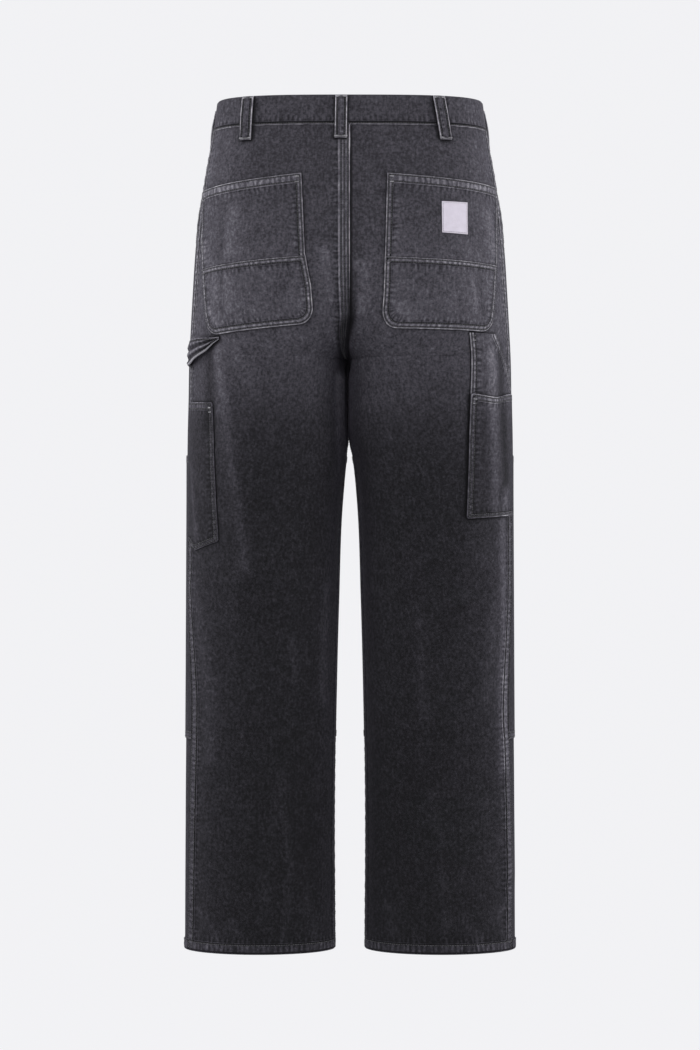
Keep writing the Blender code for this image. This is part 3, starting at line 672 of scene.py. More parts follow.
# Painted shade: a thin dark line a little past each sewn band.
ditch_painted_shade = near(past_band, 2.2, 0.2, 1.6)
in_band = both(both(ramp_of(tree, past_band, -1.9, -1.1, 1.0, 0.0), sewn), ramp_of(
    tree, inset_value, 2.5, 3.3))
in_band = both(in_band, sum_of(tree, "MULTIPLY_ADD", felled, -0.75, 1.0))
beyond_band = both(both(ramp_of(tree, past_band, 0.0, 2.0), sewn), ramp_of(
    tree, past_band, 2.0, 11.0, 1.0, 0.0))
rows_between = both(both(felled, ramp_of(tree, past_band, -0.6, 0.4, 1.0, 0.0)), sum_of(
    tree, "COSINE", sum_of(tree, "MULTIPLY_ADD", inset_value, 1.53, -0.9), 0.0))
corner_shade = wire(tree, "ShaderNodeAmbientOcclusion", {"samples": 6}, {
    "Distance": 0.006}).node.outputs["AO"]
tone = with_parts(tree, light_value, (
    (rim, 0.46), (line, 0.42), (both(groove, sum_of(tree, "SUBTRACT", 1.0, felled)), -0.42),
    (ditch_painted_shade, -0.07), (in_band, 0.20), (both(pucker, in_band), 0.13),
    (both(pucker, beyond_band), 0.14), (both(rows_between, wear), 0.36)))
tone = with_parts(tree, tone, [
    (sum_of(tree, "SUBTRACT", part, middle), strength) for part, middle, strength in (
        (cloud, 0.5, 0.24), (slub, 0.5, 0.26), (grain, 0.5, 0.80), (twill, 0.5, 0.05),
        (corner_shade, 1.0, 1.2))])
cloth_colour = colour_of(tree, tone, (0.0036, 0.0035, 0.0042), (0.30, 0.292, 0.31))
for position, colour in (
        (0.15, (0.0095, 0.0091, 0.0112, 1.0)), (0.32, (0.0215, 0.0203, 0.0248, 1.0)),
        (0.5, (0.047, 0.0445, 0.0535, 1.0)), (0.68, (0.092, 0.088, 0.101, 1.0)),
        (0.85, (0.17, 0.164, 0.182, 1.0))):
    cloth_colour.node.color_ramp.elements.new(position).color = colour
weave_height = with_parts(tree, grain, (
    (twill, 0.35), (slub, 0.4), (both(pucker, in_band), 0.8), (groove, -1.2)))
dress(tree, shader, cloth_colour, weave_height, 0.55, 0.0007)

# The denim's wrong side, where the pale weft shows between the dark warp. It is the inner face
# of every piece, and is seen in the open waist and hems.
denim_inside, tree, shader = new_material("denim_inside", {"Roughness": 0.95, "Sheen Weight": 0.2})
twill = wire(tree, "ShaderNodeTexWave", {"bands_direction": "DIAGONAL"}, {
    "Vector": cut_place(tree), "Scale": 480.0, "Distortion": 1.5, "Detail": 2.0})
grain = noise_of(tree, body_place(tree), 500.0, 3.0)
weft = with_parts(tree, sum_of(tree, "MULTIPLY", twill, 0.4), ((grain, 0.6),))
weft_colour = colour_of(tree, weft, (0.035, 0.034, 0.038), (0.24, 0.235, 0.24))
dress(tree, shader, weft_colour, weft, 0.4, 0.0005)

CLOTH = 1.3
LAYER_GAP = 0.3
ALLOWANCE = 9.0
FELL = 13.6
SIDE_FELL = 12.0
FELL_RISE = 0.8
SEAM_SHADE = 0.32
HEM_BAND = 13.0
MOUTH_BAND = 8.0
UNSEWN = 40.0
PANEL_LEVELS = np.concatenate([
    [HEM, HEM + 1.2], np.arange(HEM + 3.4, HEM + HEM_BAND, 2.6), [HEM + HEM_BAND + 1.2],
    np.arange(HEM + 18.0, CROTCH - 12.0, 3.4), np.arange(CROTCH - 11.0, CROTCH - 0.5, 2.0),
    [CROTCH - 0.3, CROTCH, CROTCH + 0.3], np.arange(CROTCH + 1.2, CROTCH + 14.0, 1.8),
    np.arange(CROTCH + 17.0, BAND_BOTTOM - 1.5, 3.4), [BAND_BOTTOM - HALF_GAP]])[::-1]


def panel_columns(face, allowance=0.0):
    """Distances across a leg panel from its middle seam, closer together in its seams.

    Above the crotch the allowance goes on past the middle, under the other half's edge.
    """
    def columns(height):
        under = allowance * float(smooth_step(CROTCH, CROTCH + 6.0, height))
        seam = float(outseam_run(height))
        length = seam if face == "back" else float(whole_run(height)) - seam
        near = [0.05 - under, 0.1 - 0.2 * (under > 0), HALF_GAP,
                1.3, 3.6, 6.4, 9.2, 12.0, 13.4, 15.2]
        far = [14.2, 12.4, 10.0, 7.4, 4.6, 1.4, HALF_GAP]
        middle = np.linspace(19.5, length - 17.0, 52)
        return np.concatenate([near, middle, length - np.array(far)])
    return columns


def side_by_side(*values):
    """Values of each point in a row, where a single value goes for all points."""
    return np.stack(np.broadcast_arrays(*values), axis=1)


def nearest_seam(seams):
    """Along, inset and band of whichever seam is nearest, in shares of its band.

    Each seam's run along starts somewhere else, so that no two pucker alike.
    """
    values = np.stack([side_by_side(*seam) for seam in seams])
    best = np.argmin(values[:, :, 1] / np.maximum(values[:, :, 2], 1.0), axis=0)
    return values[best, np.arange(len(best))]


def panel_seams(side, face, across, height):
    """The sewn edges of a leg panel at points so far across from its middle seam."""
    seam = outseam_run(height)
    length = seam if face == "back" else whole_run(height) - seam
    felled = (side < 0) | (height < CROTCH)
    middle = np.where(felled, FELL, 0.0) if face == "back" else 0.0
    outer = SIDE_FELL if face == "back" else 0.0
    return nearest_seam([
        (height, across + UNSEWN * (middle == 0), middle),
        (height + 300.0, length - across + UNSEWN * (outer == 0), outer),
        (across, height - HEM, HEM_BAND),
        (across, BAND_BOTTOM + 60.0 - height, 0.0)])


def panel_relief(side, face, across, height):
    """How far the felled seams and the hem stand up on a panel."""
    seams = panel_seams(side, face, across, height)
    seed = 1.0 + side + (3.0 if face == "front" else 0.0)
    _, inset, band = seams.T
    thick = FELL_RISE * (1 - smooth_step(band - 0.4, band + 1.0, inset)) * (band > 0)
    return seams, thick + hem_relief(*seams.T, seed)


MOUTH_WIDE = 75.0
MOUTH_FOOT = -175.0
MOUTH = ((MOUTH_WIDE, BAND_BOTTOM), (0.0, MOUTH_FOOT))


def mouth_relief(level, inset):
    """How far the hem of a slanted pocket mouth stands up."""
    return hem_relief(level, inset, MOUTH_BAND, 5.0)


HANDS = ((-1, "left"), (1, "right"))
for face in ("back", "front"):
    for side, hand in HANDS:
        columns = panel_columns(face, ALLOWANCE * (side < 0))
        if face == "back":
            flat, faces = flat_cloth(columns, PANEL_LEVELS, [])
            across, height = flat.T
            run = run_from("back middle", across, height)
        else:
            def from_outseam(level):
                return (float(whole_run(level) - outseam_run(level)) - columns(level))[::-1]
            flat, faces = flat_cloth(from_outseam, PANEL_LEVELS, [MOUTH])
            height = flat[:, 1]
            run = run_from("outseam to front", flat[:, 0], height)
            across = whole_run(height) - run
        seam, lift = panel_relief(side, face, across, height)
        if face == "front":
            slope = np.array([MOUTH_FOOT - BAND_BOTTOM, MOUTH_WIDE])
            slope /= np.linalg.norm(slope)
            inset = np.abs((flat - np.array(MOUTH[0])) @ slope)
            beside = (inset < 14.0) & (height > MOUTH_FOOT - 4.0)
            seam[beside] = side_by_side(height, inset, MOUTH_BAND)[beside]
            lift[beside] = mouth_relief(height, inset)[beside]
        under = np.where(across < 0.12, CLOTH + LAYER_GAP, 0.0)
        shell = cloth_shell(
            side, run, height, np.where(under > 0, -under, lift), -CLOTH - under)
        light = washed_and_painted_tone(side, face, run, height)
        if face == "back" and side > 0:
            shade = SEAM_SHADE * (1 - smooth_step(0.9, 3.2, across))
            light -= shade * (height > CROTCH + 3.0)
        add_cloth(f"{face}_panel_{hand}", shell, faces, seam, light, flat)

# Stitching of the leg panels. Tonal thread in a 3 mm stitch: three rows down each felled
# seam, two down each outseam, one round the hem and two along each slanted pocket mouth.
thread, tree, shader = new_material("tonal_thread", {"Roughness": 0.6, "Sheen Weight": 0.3})
thread_colour = colour_of(
    tree, noise_of(tree, body_place(tree), 150.0, 2.0), (0.008, 0.008, 0.010),
    (0.040, 0.039, 0.044), 0.3, 0.7)
dress(tree, shader, thread_colour, noise_of(tree, body_place(tree), 2600.0, 1.0), 0.4, 0.0002)
rubbed_thread = thread.copy()
rubbed_thread.name = "rubbed_thread"
rubbed_colours = rubbed_thread.node_tree.nodes[thread_colour.node.name].color_ramp.elements
rubbed_colours[0].color = (0.060, 0.058, 0.064, 1.0)
rubbed_colours[1].color = (0.26, 0.255, 0.27, 1.0)


def stitches_along(points, out, pitch=3.1, length=2.5):
    """Starts, ends and ways out of the stitches in one row, from points close together."""
    steps = np.linalg.norm(np.diff(points, axis=0), axis=1) * 1000
    run = np.concatenate(([0.0], np.cumsum(steps)))
    starts = np.arange(0.4, run[-1] - length, pitch)

    def at(values, where):
        return np.stack([np.interp(where, run, column) for column in values.T], axis=1)

    return at(points, starts), at(points, starts + length), at(out, starts + length / 2)


def add_stitches(name, rows, width=0.62, rise=0.30, skin=thread):
    """Make the stitches of a piece: low ridges of thread whose ends go into the cloth."""
    starts, ends, out = (np.concatenate(values) for values in zip(*rows))
    way = ends - starts
    across = np.cross(out, way)
    across *= width * 0.0005 / np.linalg.norm(across, axis=1, keepdims=True)
    out = out * (rise * 0.001)
    points = []
    for share, high, wide in (
            (0.0, -0.7, 0.5), (0.2, 0.8, 1.0), (0.8, 0.8, 1.0), (1.0, -0.7, 0.5)):
        middle = starts + way * share
        base = middle + out * (min(high, 0.0) - 0.35)
        points += [base - across * wide, middle + out * high, base + across * wide]
    count = len(starts)
    verts = np.stack(points, axis=1).reshape(-1, 3)
    quads = np.array([[3 * s + k, 3 * s + k + 1, 3 * s + k + 4, 3 * s + k + 3]
                      for s in range(3) for k in range(2)])
    faces = (np.arange(count)[:, None, None] * 12 + quads[None]).reshape(-1, 4)
    mesh = bpy.data.meshes.new(name)
    mesh.from_pydata(verts.tolist(), [], faces.tolist())
    mesh.materials.append(skin)
    mesh.shade_smooth()
    row = add_object(name, mesh)
    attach(row, "root")


ROW_LIFT = 0.12


def row_on(side, run, height, lift):
    """One row of stitches on top of a cloth that stands so far off the surface."""
    return stitches_along(*cloth_points(side, run, height, lift + ROW_LIFT))


def panel_row(side, face, across, height):
    """One row of stitches on a leg panel, through points given from its middle seam."""
    across, height = np.broadcast_arrays(across, height)
    run = across if face == "back" else whole_run(height) - across
    return row_on(side, run, height, panel_relief(side, face, across, height)[1])


HEM_ROW = HEM + 11.8
MOUTH_SLANT = 1.11
FELL_ROWS = (3.0, 7.0, 11.0)
OUTSEAM_ROWS = (1.8, 10.2)
MOUTH_ROWS = (2.0, 6.6)
seat_levels = np.arange(BAND_BOTTOM - 1.0, CROTCH, -1.5)
leg_levels = np.arange(CROTCH - 1.0, HEM + 1.0, -1.5)
for side, hand in HANDS:
    rows = []
    for inset in FELL_ROWS:
        for levels in (seat_levels, leg_levels) if side < 0 else (leg_levels,):
            rows.append(panel_row(side, "back", inset, levels))
    down = np.concatenate([seat_levels, leg_levels])
    for inset in OUTSEAM_ROWS:
        rows.append(panel_row(side, "back", outseam_run(down) - inset, down))
    to_outseam = float(outseam_run(HEM_ROW))
    for face, length in (
            ("back", to_outseam), ("front", float(whole_run(HEM_ROW)) - to_outseam)):
        rows.append(panel_row(side, face, np.arange(0.5, length, 1.5), HEM_ROW))
    for inset in MOUTH_ROWS:
        level = np.arange(BAND_BOTTOM - 1.0, -174.0, -1.5)
        share = (level - BAND_BOTTOM) / (MOUTH_FOOT - BAND_BOTTOM)
        beside = MOUTH_WIDE * (1 - share) + inset * MOUTH_SLANT
        rows.append(row_on(side, outseam_run(level) + beside, level, mouth_relief(level, inset)))
    add_stitches(f"panel_stitching_{hand}", rows)

# Front pocket facings. A strip of the same denim behind each slanted mouth, sewn to the
# pocket bag inside, so that denim shows where the mouth gapes.
MOUTH_BELOW = MOUTH_FOOT - 18.0
FACING_LEVELS = np.concatenate([
    [BAND_BOTTOM - HALF_GAP], np.arange(-24.0, MOUTH_BELOW - 3.0, -4.5)])
for side, hand in HANDS:
    flat, faces = flat_cloth(
        lambda level: np.arange(HALF_GAP, 97.0, 4.5), FACING_LEVELS,
        [((18.0, MOUTH_FOOT), (93.0, BAND_BOTTOM)),
         ((0.0, MOUTH_BELOW), (MOUTH_WIDE, MOUTH_BELOW))])
    height = flat[:, 1]
    run = run_from("outseam to front", flat[:, 0], height)
    seam = side_by_side(height, 60.0, 0.0)
    add_cloth(f"front_pocket_facing_{hand}", cloth_shell(side, run, height, -2.1, -3.3), faces,
              seam, 0.30, flat)

# Back pockets. Two big patches, each of an upper and a lower piece of denim joined by a
# felled seam, the top hemmed twice over, the edges folded in and sewn down in two rows.
def outline_with_corners(corners, steps=7):
    """Points of an outline with rounded corners, each edge's band, and where corners start.

    Each corner is its distance across, height, radius and the band of the edge after it.
    """
    points = []
    bands = []
    marks = []
    for index, (across, height, radius, band) in enumerate(corners):
        marks.append(len(points))
        corner = Vector((across, height))
        if radius == 0:
            points.append(tuple(corner))
            bands.append(band)
            continue
        before = (Vector(corners[index - 1][:2]) - corner).normalized()
        after = (Vector(corners[(index + 1) % len(corners)][:2]) - corner).normalized()
        half = before.angle(after) / 2
        turn = math.pi - 2 * half
        centre = corner + (before + after).normalized() * (radius / math.sin(half))
        first = corner + before * (radius / math.tan(half)) - centre
        last = corner + after * (radius / math.tan(half)) - centre
        for share in np.linspace(0.0, 1.0, steps + 1):
            spoke = first * math.sin(turn * (1 - share)) + last * math.sin(turn * share)
            points.append(tuple(centre + spoke / math.sin(turn)))
            bands.append(corners[index - 1][3] * (1 - share) + band * share)
    return np.array(points), np.array(bands), marks


def edge_seams(points, bands, flat):
    """Along, inset and band of the nearest edge of an outline, for flat points."""
    seams = []
    run = 0.0
    for start, end, band in zip(points, np.roll(points, -1, axis=0), bands):
        line = end - start
        length = float(np.hypot(*line))
        way = line / length
        along = np.clip((flat - start) @ way, 0.0, length)
        inset = np.linalg.norm(flat - start - along[:, None] * way, axis=1)
        if band > 0:
            seams.append((along + run, inset, band))
        run += length
    return nearest_seam(seams)


def moved_in(start, end, inset):
    """A line of an outline moved inwards, and its direction."""
    way = (end - start) / np.linalg.norm(end - start)
    shift = np.array([-way[1], way[0]]) * inset
    return start + shift, end + shift, way


def inset_outline(points, inset, first, last):
    """An outline's edges from first to last, moved inwards, with points close together."""
    count = len(points)
    lines = [moved_in(points[index % count], points[(index + 1) % count], inset)
             for index in range(first, last)]
    path = [lines[0][0]]
    for (start, _, way), (other, _, turn) in zip(lines, lines[1:]):
        cross = way[0] * turn[1] - way[1] * turn[0]
        if abs(cross) < 1e-6:
            path.append(other)
            continue
        reach = ((other[0] - start[0]) * turn[1] - (other[1] - start[1]) * turn[0]) / cross
        path.append(start + way * reach)
    path.append(lines[-1][1])
    path = np.array(path)
    steps = np.concatenate(([0.0], np.cumsum(np.linalg.norm(np.diff(path, axis=0), axis=1))))
    where = np.arange(0.0, steps[-1], 1.2)
    return np.stack([np.interp(where, steps, column) for column in path.T], axis=1)


RIM_BEND = 1.3


def add_patch(
        name, side, origin, corners, seed, inside, outside, pale, area, sag=(), grid=3.0,
        skins=None, slot="black_denim"):
    """A patch of cloth sewn on a leg, its outline, and how to find points on top of it.

    Inside and outside are its faces' distances off the leg. Sag is where its top edge hangs
    lower: the distance across, half the width and the depth.
    """
    points, bands, marks = outline_with_corners(corners)
    low = points.min(axis=0)
    high = points.max(axis=0)
    levels = np.arange(high[1] + 0.1, low[1] - grid, -grid)
    columns = np.arange(low[0] - 0.1, high[0] + grid, grid)
    cuts = list(zip(points, np.roll(points, -1, axis=0)))
    rims = [moved_in(start, end, RIM_BEND)[:2] for start, end in cuts
            if np.linalg.norm(end - start) > 20.0]
    flat, faces = flat_cloth(lambda level: columns, levels, cuts, rims)

    def surface(spots):
        """Seams, and the height over the leg, of flat points on the patch."""
        seams = edge_seams(points, bands, spots)
        return seams, outside + hem_relief(*seams.T, seed)

    def hung(across, height):
        """Heights on the patch once its top edge has sagged."""
        if not sag:
            return height
        top = ((height - low[1]) / (high[1] - low[1])) ** 3
        return height - sag[2] * top * np.exp(-((across - sag[0]) / sag[1]) ** 2)

    level = hung(*flat.T)
    run = run_from(origin, flat[:, 0], level)
    seams, lift = surface(flat)
    light = washed_and_painted_tone(side, "back" if "back" in origin else "front", run, level) + pale
    add_cloth(name, cloth_shell(side, run, level, lift, inside), faces, seams, light, flat,
              skins=skins)

    def row_at(path, off=ROW_LIFT):
        """Points on top of the patch, in metres, and the way out."""
        level = hung(*path.T)
        return cloth_points(
            side, run_from(origin, path[:, 0], level), level, surface(path)[1] + off)

    return points, marks, row_at


def edge_row(row_at, points, inset, first, last, *stitch):
    """A row of stitches inside a patch's edges from first to last."""
    return stitches_along(*row_at(inset_outline(points, inset, first, last)), *stitch)


def tack_stitches(middle, way, out, length, width, count):
    """A bar tack: short stitches side by side across a length of the cloth."""
    way = way / np.linalg.norm(way)
    across = np.cross(out, way)
    across /= np.linalg.norm(across)
    places = middle + way * (np.linspace(-0.5, 0.5, count)[:, None] * length * 0.001)
    tilt = way * (length * 0.0004 / count)
    starts = places - across * (width * 0.0005) - tilt
    ends = places + across * (width * 0.0005) + tilt
    return starts, ends, np.tile(out, (count, 1))


def corner_tacks(row_at, corner, drops, reach):
    """Bar tacks below one another, at distances under a patch's corner and across from it."""
    tacks = []
    for drop in drops:
        on, out = row_at(corner + np.array([[across, -drop] for across in reach]), 0.2)
        tacks.append(tack_stitches(on.mean(axis=0), on[1] - on[0], out[0], 4.4, 1.5, 7))
    return tacks


POCKET_CLOTH = (0.3, 1.7)
BACK_POCKETS = (
    # hand, side, corners of the upper and of the lower piece, their areas
    ("right", 1,
     ((45.5, -81, 0, 7.2), (42.6, -184.9, 0, 0.0), (201.2, -191.5, 0, 7.2), (211, -92, 0, 11.0)),
     ((42.4, -185.2, 0, 7.2), (41.6, -272, 25, 7.3), (188.5, -276, 17, 7.2),
      (201.0, -191.8, 0, 7.3)), 0.0167, 0.0128),
    ("left", -1,
     ((59.5, -81, 0, 7.2), (54.8, -183.9, 0, 0.0), (204.5, -195.9, 0, 7.2), (213, -96, 0, 11.0)),
     ((54.3, -184.1, 0, 7.2), (47.9, -222, 0, 7.2), (46.8, -266, 22, 7.3),
      (190.0, -280.5, 15, 7.2), (204.2, -196.2, 0, 7.3)), 0.0158, 0.0120),
)
for hand, side, upper, lower, upper_area, lower_area in BACK_POCKETS:
    rows = []
    points, _, row_at = add_patch(
        f"back_pocket_{hand}_upper", side, "back middle", upper, 2.0 + side, *POCKET_CLOTH,
        0.02, upper_area)
    for corner in (0, 2):
        for inset in (2.2, 6.4):
            start, end, way = moved_in(points[corner], points[corner + 1], inset)
            steps = np.arange(0.0, np.linalg.norm(end - start), 1.2)[:, None]
            rows.append(stitches_along(*row_at(start + steps * way)))
    for inset in (2.2, 10.2):
        rows.append(edge_row(row_at, points, inset, 3, 4))
    tacks = corner_tacks(row_at, points[0], (4.5, 11.5), (3.0, 8.0))
    tacks += corner_tacks(row_at, points[3], (4.5, 11.5), (-3.0, -8.0))
    points, _, row_at = add_patch(
        f"back_pocket_{hand}_lower", side, "back middle", lower, 3.0 + side, *POCKET_CLOTH,
        0.02, lower_area)
    last = len(points) - 1
    for inset in (2.2, 6.5):
        rows.append(edge_row(row_at, points, inset, 0, last))
        rows.append(edge_row(row_at, points, inset, last, last + 1))
    add_stitches(f"back_pocket_stitching_{hand}", rows)
    add_stitches(f"back_pocket_bar_tacks_{hand}", tacks, skin=rubbed_thread)

# Label. A plain square of woven ribbon, its ends turned in, sewn round its edge with short
# stitches near the outer top of the right back pocket.
ribbon, tree, shader = new_material("woven_ribbon", {"Roughness": 0.75, "Sheen Weight": 0.2})
across_weave, down_weave = (
    wire(tree, "ShaderNodeTexWave", {"bands_direction": way}, {
        "Vector": cut_place(tree), "Scale": scale, "Distortion": 0.8, "Detail": 1.0})
    for way, scale in (("X", 520.0), ("Y", 620.0)))
weave = sum_of(tree, "MULTIPLY", across_weave, down_weave)
soil = noise_of(tree, cut_place(tree), 120.0, 4.0)
ribbon_tone = with_parts(tree, sum_of(tree, "MULTIPLY", weave, 0.35), ((soil, 0.5),))
ribbon_colour = colour_of(
    tree, ribbon_tone, (0.33, 0.305, 0.35), (0.50, 0.465, 0.53), 0.0, 0.8)
dress(tree, shader, ribbon_colour, weave, 0.5, 0.0003)
LABEL = ((113, -116, 0, 1.6), (113, -155.5, 0, 1.6), (147.5, -156.5, 0, 1.6), (148, -116, 0, 1.6))
points, _, row_at = add_patch(
    "label", 1, "back middle", LABEL, 0.4, 1.95, 2.75, 0.0, 0.0014, grid=2.0,
    skins=(ribbon, ribbon), slot="woven_label")
rows = [edge_row(row_at, points, 1.5, index, index + 1, 2.2, 1.7) for index in range(4)]
add_stitches("label_stitching", rows, 0.4, 0.25)

# Tool pockets. Narrow patches sewn in at the outseams: a long one with a slanted mouth and a
# short one over it on the right leg, and one with a pointed foot on the left leg. Their rows
# of stitches are given as an inset and the corners that they run between.
TOOL_POCKETS = (
    # name, side, inside, outside, corners, area, rows, sag
    ("tool_pocket_right_large", 1, 0.3, 1.7,
     ((1, -502, 0, 5.6), (80, -502, 3, 7.0), (88.5, -350, 0, 7.0), (92, -277.5, 0, 0.0),
      (47, -277.5, 0, 8.5), (1, -339, 0, 0.0)), 0.0167,
     ((2.2, 1, 3), (6.2, 1, 3), (2.2, 4, 5), (7.7, 4, 5)), ()),
    ("tool_pocket_right_small", 1, 2.0, 3.4,
     ((1, -500, 0, 5.6), (84, -505, 3, 7.0), (88.5, -350, 3, 8.0), (1, -349, 0, 0.0)), 0.0127,
     ((2.2, 0, 2), (6.2, 1, 2), (4.8, 0, 1), (2.2, 2, 3), (7.2, 2, 3)), (52, 26, 4.6)),
    ("tool_pocket_left", -1, 0.3, 1.7,
     ((1, -533, 0, 6.4), (20, -545, 0, 6.4), (62, -533, 4, 7.0), (63, -361.3, 3, 9.0),
      (1, -359.3, 0, 0.0)), 0.0110,
     ((2.2, 0, 3), (6.0, 0, 3), (2.2, 3, 4), (8.2, 3, 4)), ()),
)
for name, side, inside, outside, corners, area, row_list, sag in TOOL_POCKETS:
    points, marks, row_at = add_patch(
        name, side, "outseam to back", corners, 4.0 + inside, inside, outside,
        0.02 if side > 0 else -0.05, area, sag)
    rows = []
    for inset, first, last in row_list:
        path = inset_outline(points, inset, marks[first], marks[last])
        rows.append(stitches_along(*row_at(path[path[:, 0] > 4.0])))
    top_corner = max(range(len(corners)), key=lambda i: corners[i][1] + corners[i][0] * 0.1)
    tacks = corner_tacks(row_at, points[marks[top_corner]], (3.5, 9.0), (-8.5, -2.5))
    add_stitches(f"{name}_stitching", rows)
    add_stitches(f"{name}_bar_tacks", tacks, skin=rubbed_thread)

# Knee panels. A second layer of denim over the front of each knee, its top and bottom edges
# folded in and sewn down in two rows, its sides caught in the outseam and the inseam.
KNEE_TOP = -425.0
KNEE_BOTTOM = -782.0
KNEE_BAND = 8.5
KNEE_LIFT = 1.6
knee_levels = np.concatenate([
    [KNEE_TOP, KNEE_TOP - 1.4], np.arange(KNEE_TOP - 4.0, KNEE_TOP - 13.0, -2.6),
    np.arange(KNEE_TOP - 17.0, KNEE_BOTTOM + 13.0, -4.0),
    np.arange(KNEE_BOTTOM + 12.0, KNEE_BOTTOM + 2.0, -2.6), [KNEE_BOTTOM + 1.4, KNEE_BOTTOM]])


def knee_relief(across, height):
    """The sewn edges of a knee panel, and how far they stand up, least by the outseam."""
    beside = smooth_step(20.0, 80.0, whole_run(height) - outseam_run(height) - across)
    top = KNEE_TOP - height
    bottom = height - KNEE_BOTTOM
    seams = side_by_side(across + 500.0 * (top > bottom), np.minimum(top, bottom), KNEE_BAND)
    lift = KNEE_LIFT + hem_relief(*seams.T, 6.0)
    return seams, 1.0 + (lift - 1.0) * (0.3 + 0.7 * beside)


for side, hand in HANDS:
    flat, faces = flat_cloth(panel_columns("front"), knee_levels, [])
    across, height = flat.T
    run = run_from("front middle", across, height)
    seams, lift = knee_relief(across, height)
    light = washed_and_painted_tone(side, "front", run, height) + 0.02
    add_cloth(f"knee_panel_{hand}", cloth_shell(side, run, height, lift, 0.2), faces, seams,
              light, flat)
    rows = []
    for level in (KNEE_TOP - 2.0, KNEE_TOP - 8.0, KNEE_BOTTOM + 8.0, KNEE_BOTTOM + 2.0):
        around = np.arange(0.6, float(whole_run(level) - outseam_run(level)), 1.5)
        height = np.full_like(around, level)
        run = run_from("front middle", around, height)
        rows.append(row_on(side, run, height, knee_relief(around, height)[1]))
    add_stitches(f"knee_panel_stitching_{hand}", rows)

# Fly. The flap of the left front that covers the zip, sewn down in a long J of two rows,
# and below it the two fronts joined edge to edge.
FLY = ((0.3, -168, 0, 0.0), (38, -168, 30, 5.0), (38, -19.4, 0, 0.0), (0.3, -19.4, 0, 4.0))
points, marks, row_at = add_patch(
    "fly", -1, "front middle", FLY, 7.0, 0.3, 1.7, 0.01, 0.0054)
rows = [edge_row(row_at, points, inset, marks[1], marks[2]) for inset in (4.0, 9.5)]
spots, out = row_at(np.array([[3.0, -160.0], [3.0, -150.0]]), 0.2)
rows.append(tack_stitches(spots.mean(axis=0), spots[1] - spots[0], out[0], 10.0, 2.0, 13))
below_fly = np.arange(-172.0, CROTCH, -1.5)
for inset in (2.0, 7.0):
    rows.append(panel_row(-1, "front", inset, below_fly))
add_stitches("fly_stitching", rows)

# Waistband. One straight strip folded lengthwise round the top of the panels and sewn along
# its lower edge, its left end lapped over the right one at the front.
BAND_FOOT = BAND_BOTTOM + HALF_GAP
OVER_END = 4.0
UNDER_END = 25.0
BAND_LIFT = 0.6
LAP_LIFT = 3.8
BAND_ROW = BAND_FOOT + 2.0


def band_relief(distance, height):
    """The waistband's sewn edges, how far its outer face stands off, its lap, its top fold."""
    to_front = whole_run(height) + distance
    seams = nearest_seam([
        (distance, height - BAND_FOOT, 4.0), (distance + 900.0, BAND_TOP - height + 30.0, 0.0),
        (height, to_front + OVER_END, 5.0)])
    lap = LAP_LIFT * smooth_step(-48.0, -31.0, -to_front)
    fold = (1 - smooth_step(0.0, 2.2, BAND_TOP - height)) ** 2
    return seams, BAND_LIFT + lap + hem_relief(*seams.T, 8.0) - fold, lap, fold


band_levels = np.array([
    BAND_TOP, 18.5, 17.6, 16.2, 13.5, 10.5, 7.5, 4.5, 1.5, -1.5, -4.5, -7.0, -9.5, -12.0, -14.5,
    -16.6, -17.9, BAND_FOOT])


def band_columns(level):
    """Distances round the waistband at a height."""
    whole = float(whole_run(level))
    ends = np.array([0.0, 1.2, 3.0])
    middle = np.linspace(-whole - OVER_END + 5.0, whole + UNDER_END - 5.0, 320)
    return np.concatenate([-whole - OVER_END + ends, middle, whole + UNDER_END - ends[::-1]])


flat, faces = flat_cloth(band_columns, band_levels, [])
distance, height = flat.T
seams, lift, lap, fold = band_relief(distance, height)
across = np.minimum(np.abs(distance), 2 * whole_run(height) - np.abs(distance))
light = np.where(across < outseam_run(height), washed_and_painted_tone(1, "back", across, height),
                 washed_and_painted_tone(1, "front", across, height))
add_cloth("waistband", cloth_shell(1, distance, height, lift, lap - 2.4 + 0.9 * fold), faces,
          seams, light, flat, sharp=60)
around = np.arange(-float(whole_run(BAND_ROW)) - 2.0, float(whole_run(BAND_ROW)) + 22.0, 1.5)
up = np.arange(BAND_ROW, BAND_TOP - 1.5, 1.2)
rows = [row_on(1, distance, height, band_relief(distance, height)[1]) for distance, height in (
    (around, np.full_like(around, BAND_ROW)), (2.0 - OVER_END - whole_run(up), up))]
add_stitches("waistband_stitching", rows)

# Belt loops. Strips of denim folded in three and sewn down both edges, their ends turned
# under and held with bar tacks over the waistband and below it.
BELT_LOOPS = (
    # name, side, share of the way to the front, slant, how far its foot lies out, bow
    ("back_centre", -1, 0.0235, 0.4, 1.4, 3.4),
    ("back_left", -1, 0.283, -1.4, 0.5, 3.6),
    ("back_right", 1, 0.245, 5.0, 0.5, 3.6),
    ("side_left", -1, 0.560, 0.0, 0.5, 3.8),
    ("side_right", 1, 0.560, 0.0, 0.5, 3.8),
    ("front_left", -1, 0.825, 0.0, 0.5, 3.6),
    ("front_right", 1, 0.825, 0.0, 0.5, 3.6),
)
LOOP_TOP = 18.5
LOOP_LONG = 55.5
LOOP_HALF = 7.4
LOOP_CLOTH = 2.4
loop_across = np.array([-7.4, -6.9, -6.0, -5.0, -4.0, -2.0, 0.0, 2.0, 4.0, 5.0, 6.0, 6.9, 7.4])
loop_shares = np.concatenate([
    [0.0, 0.012, 0.035], np.linspace(0.06, 0.94, 24), [0.965, 0.988, 1.0]])


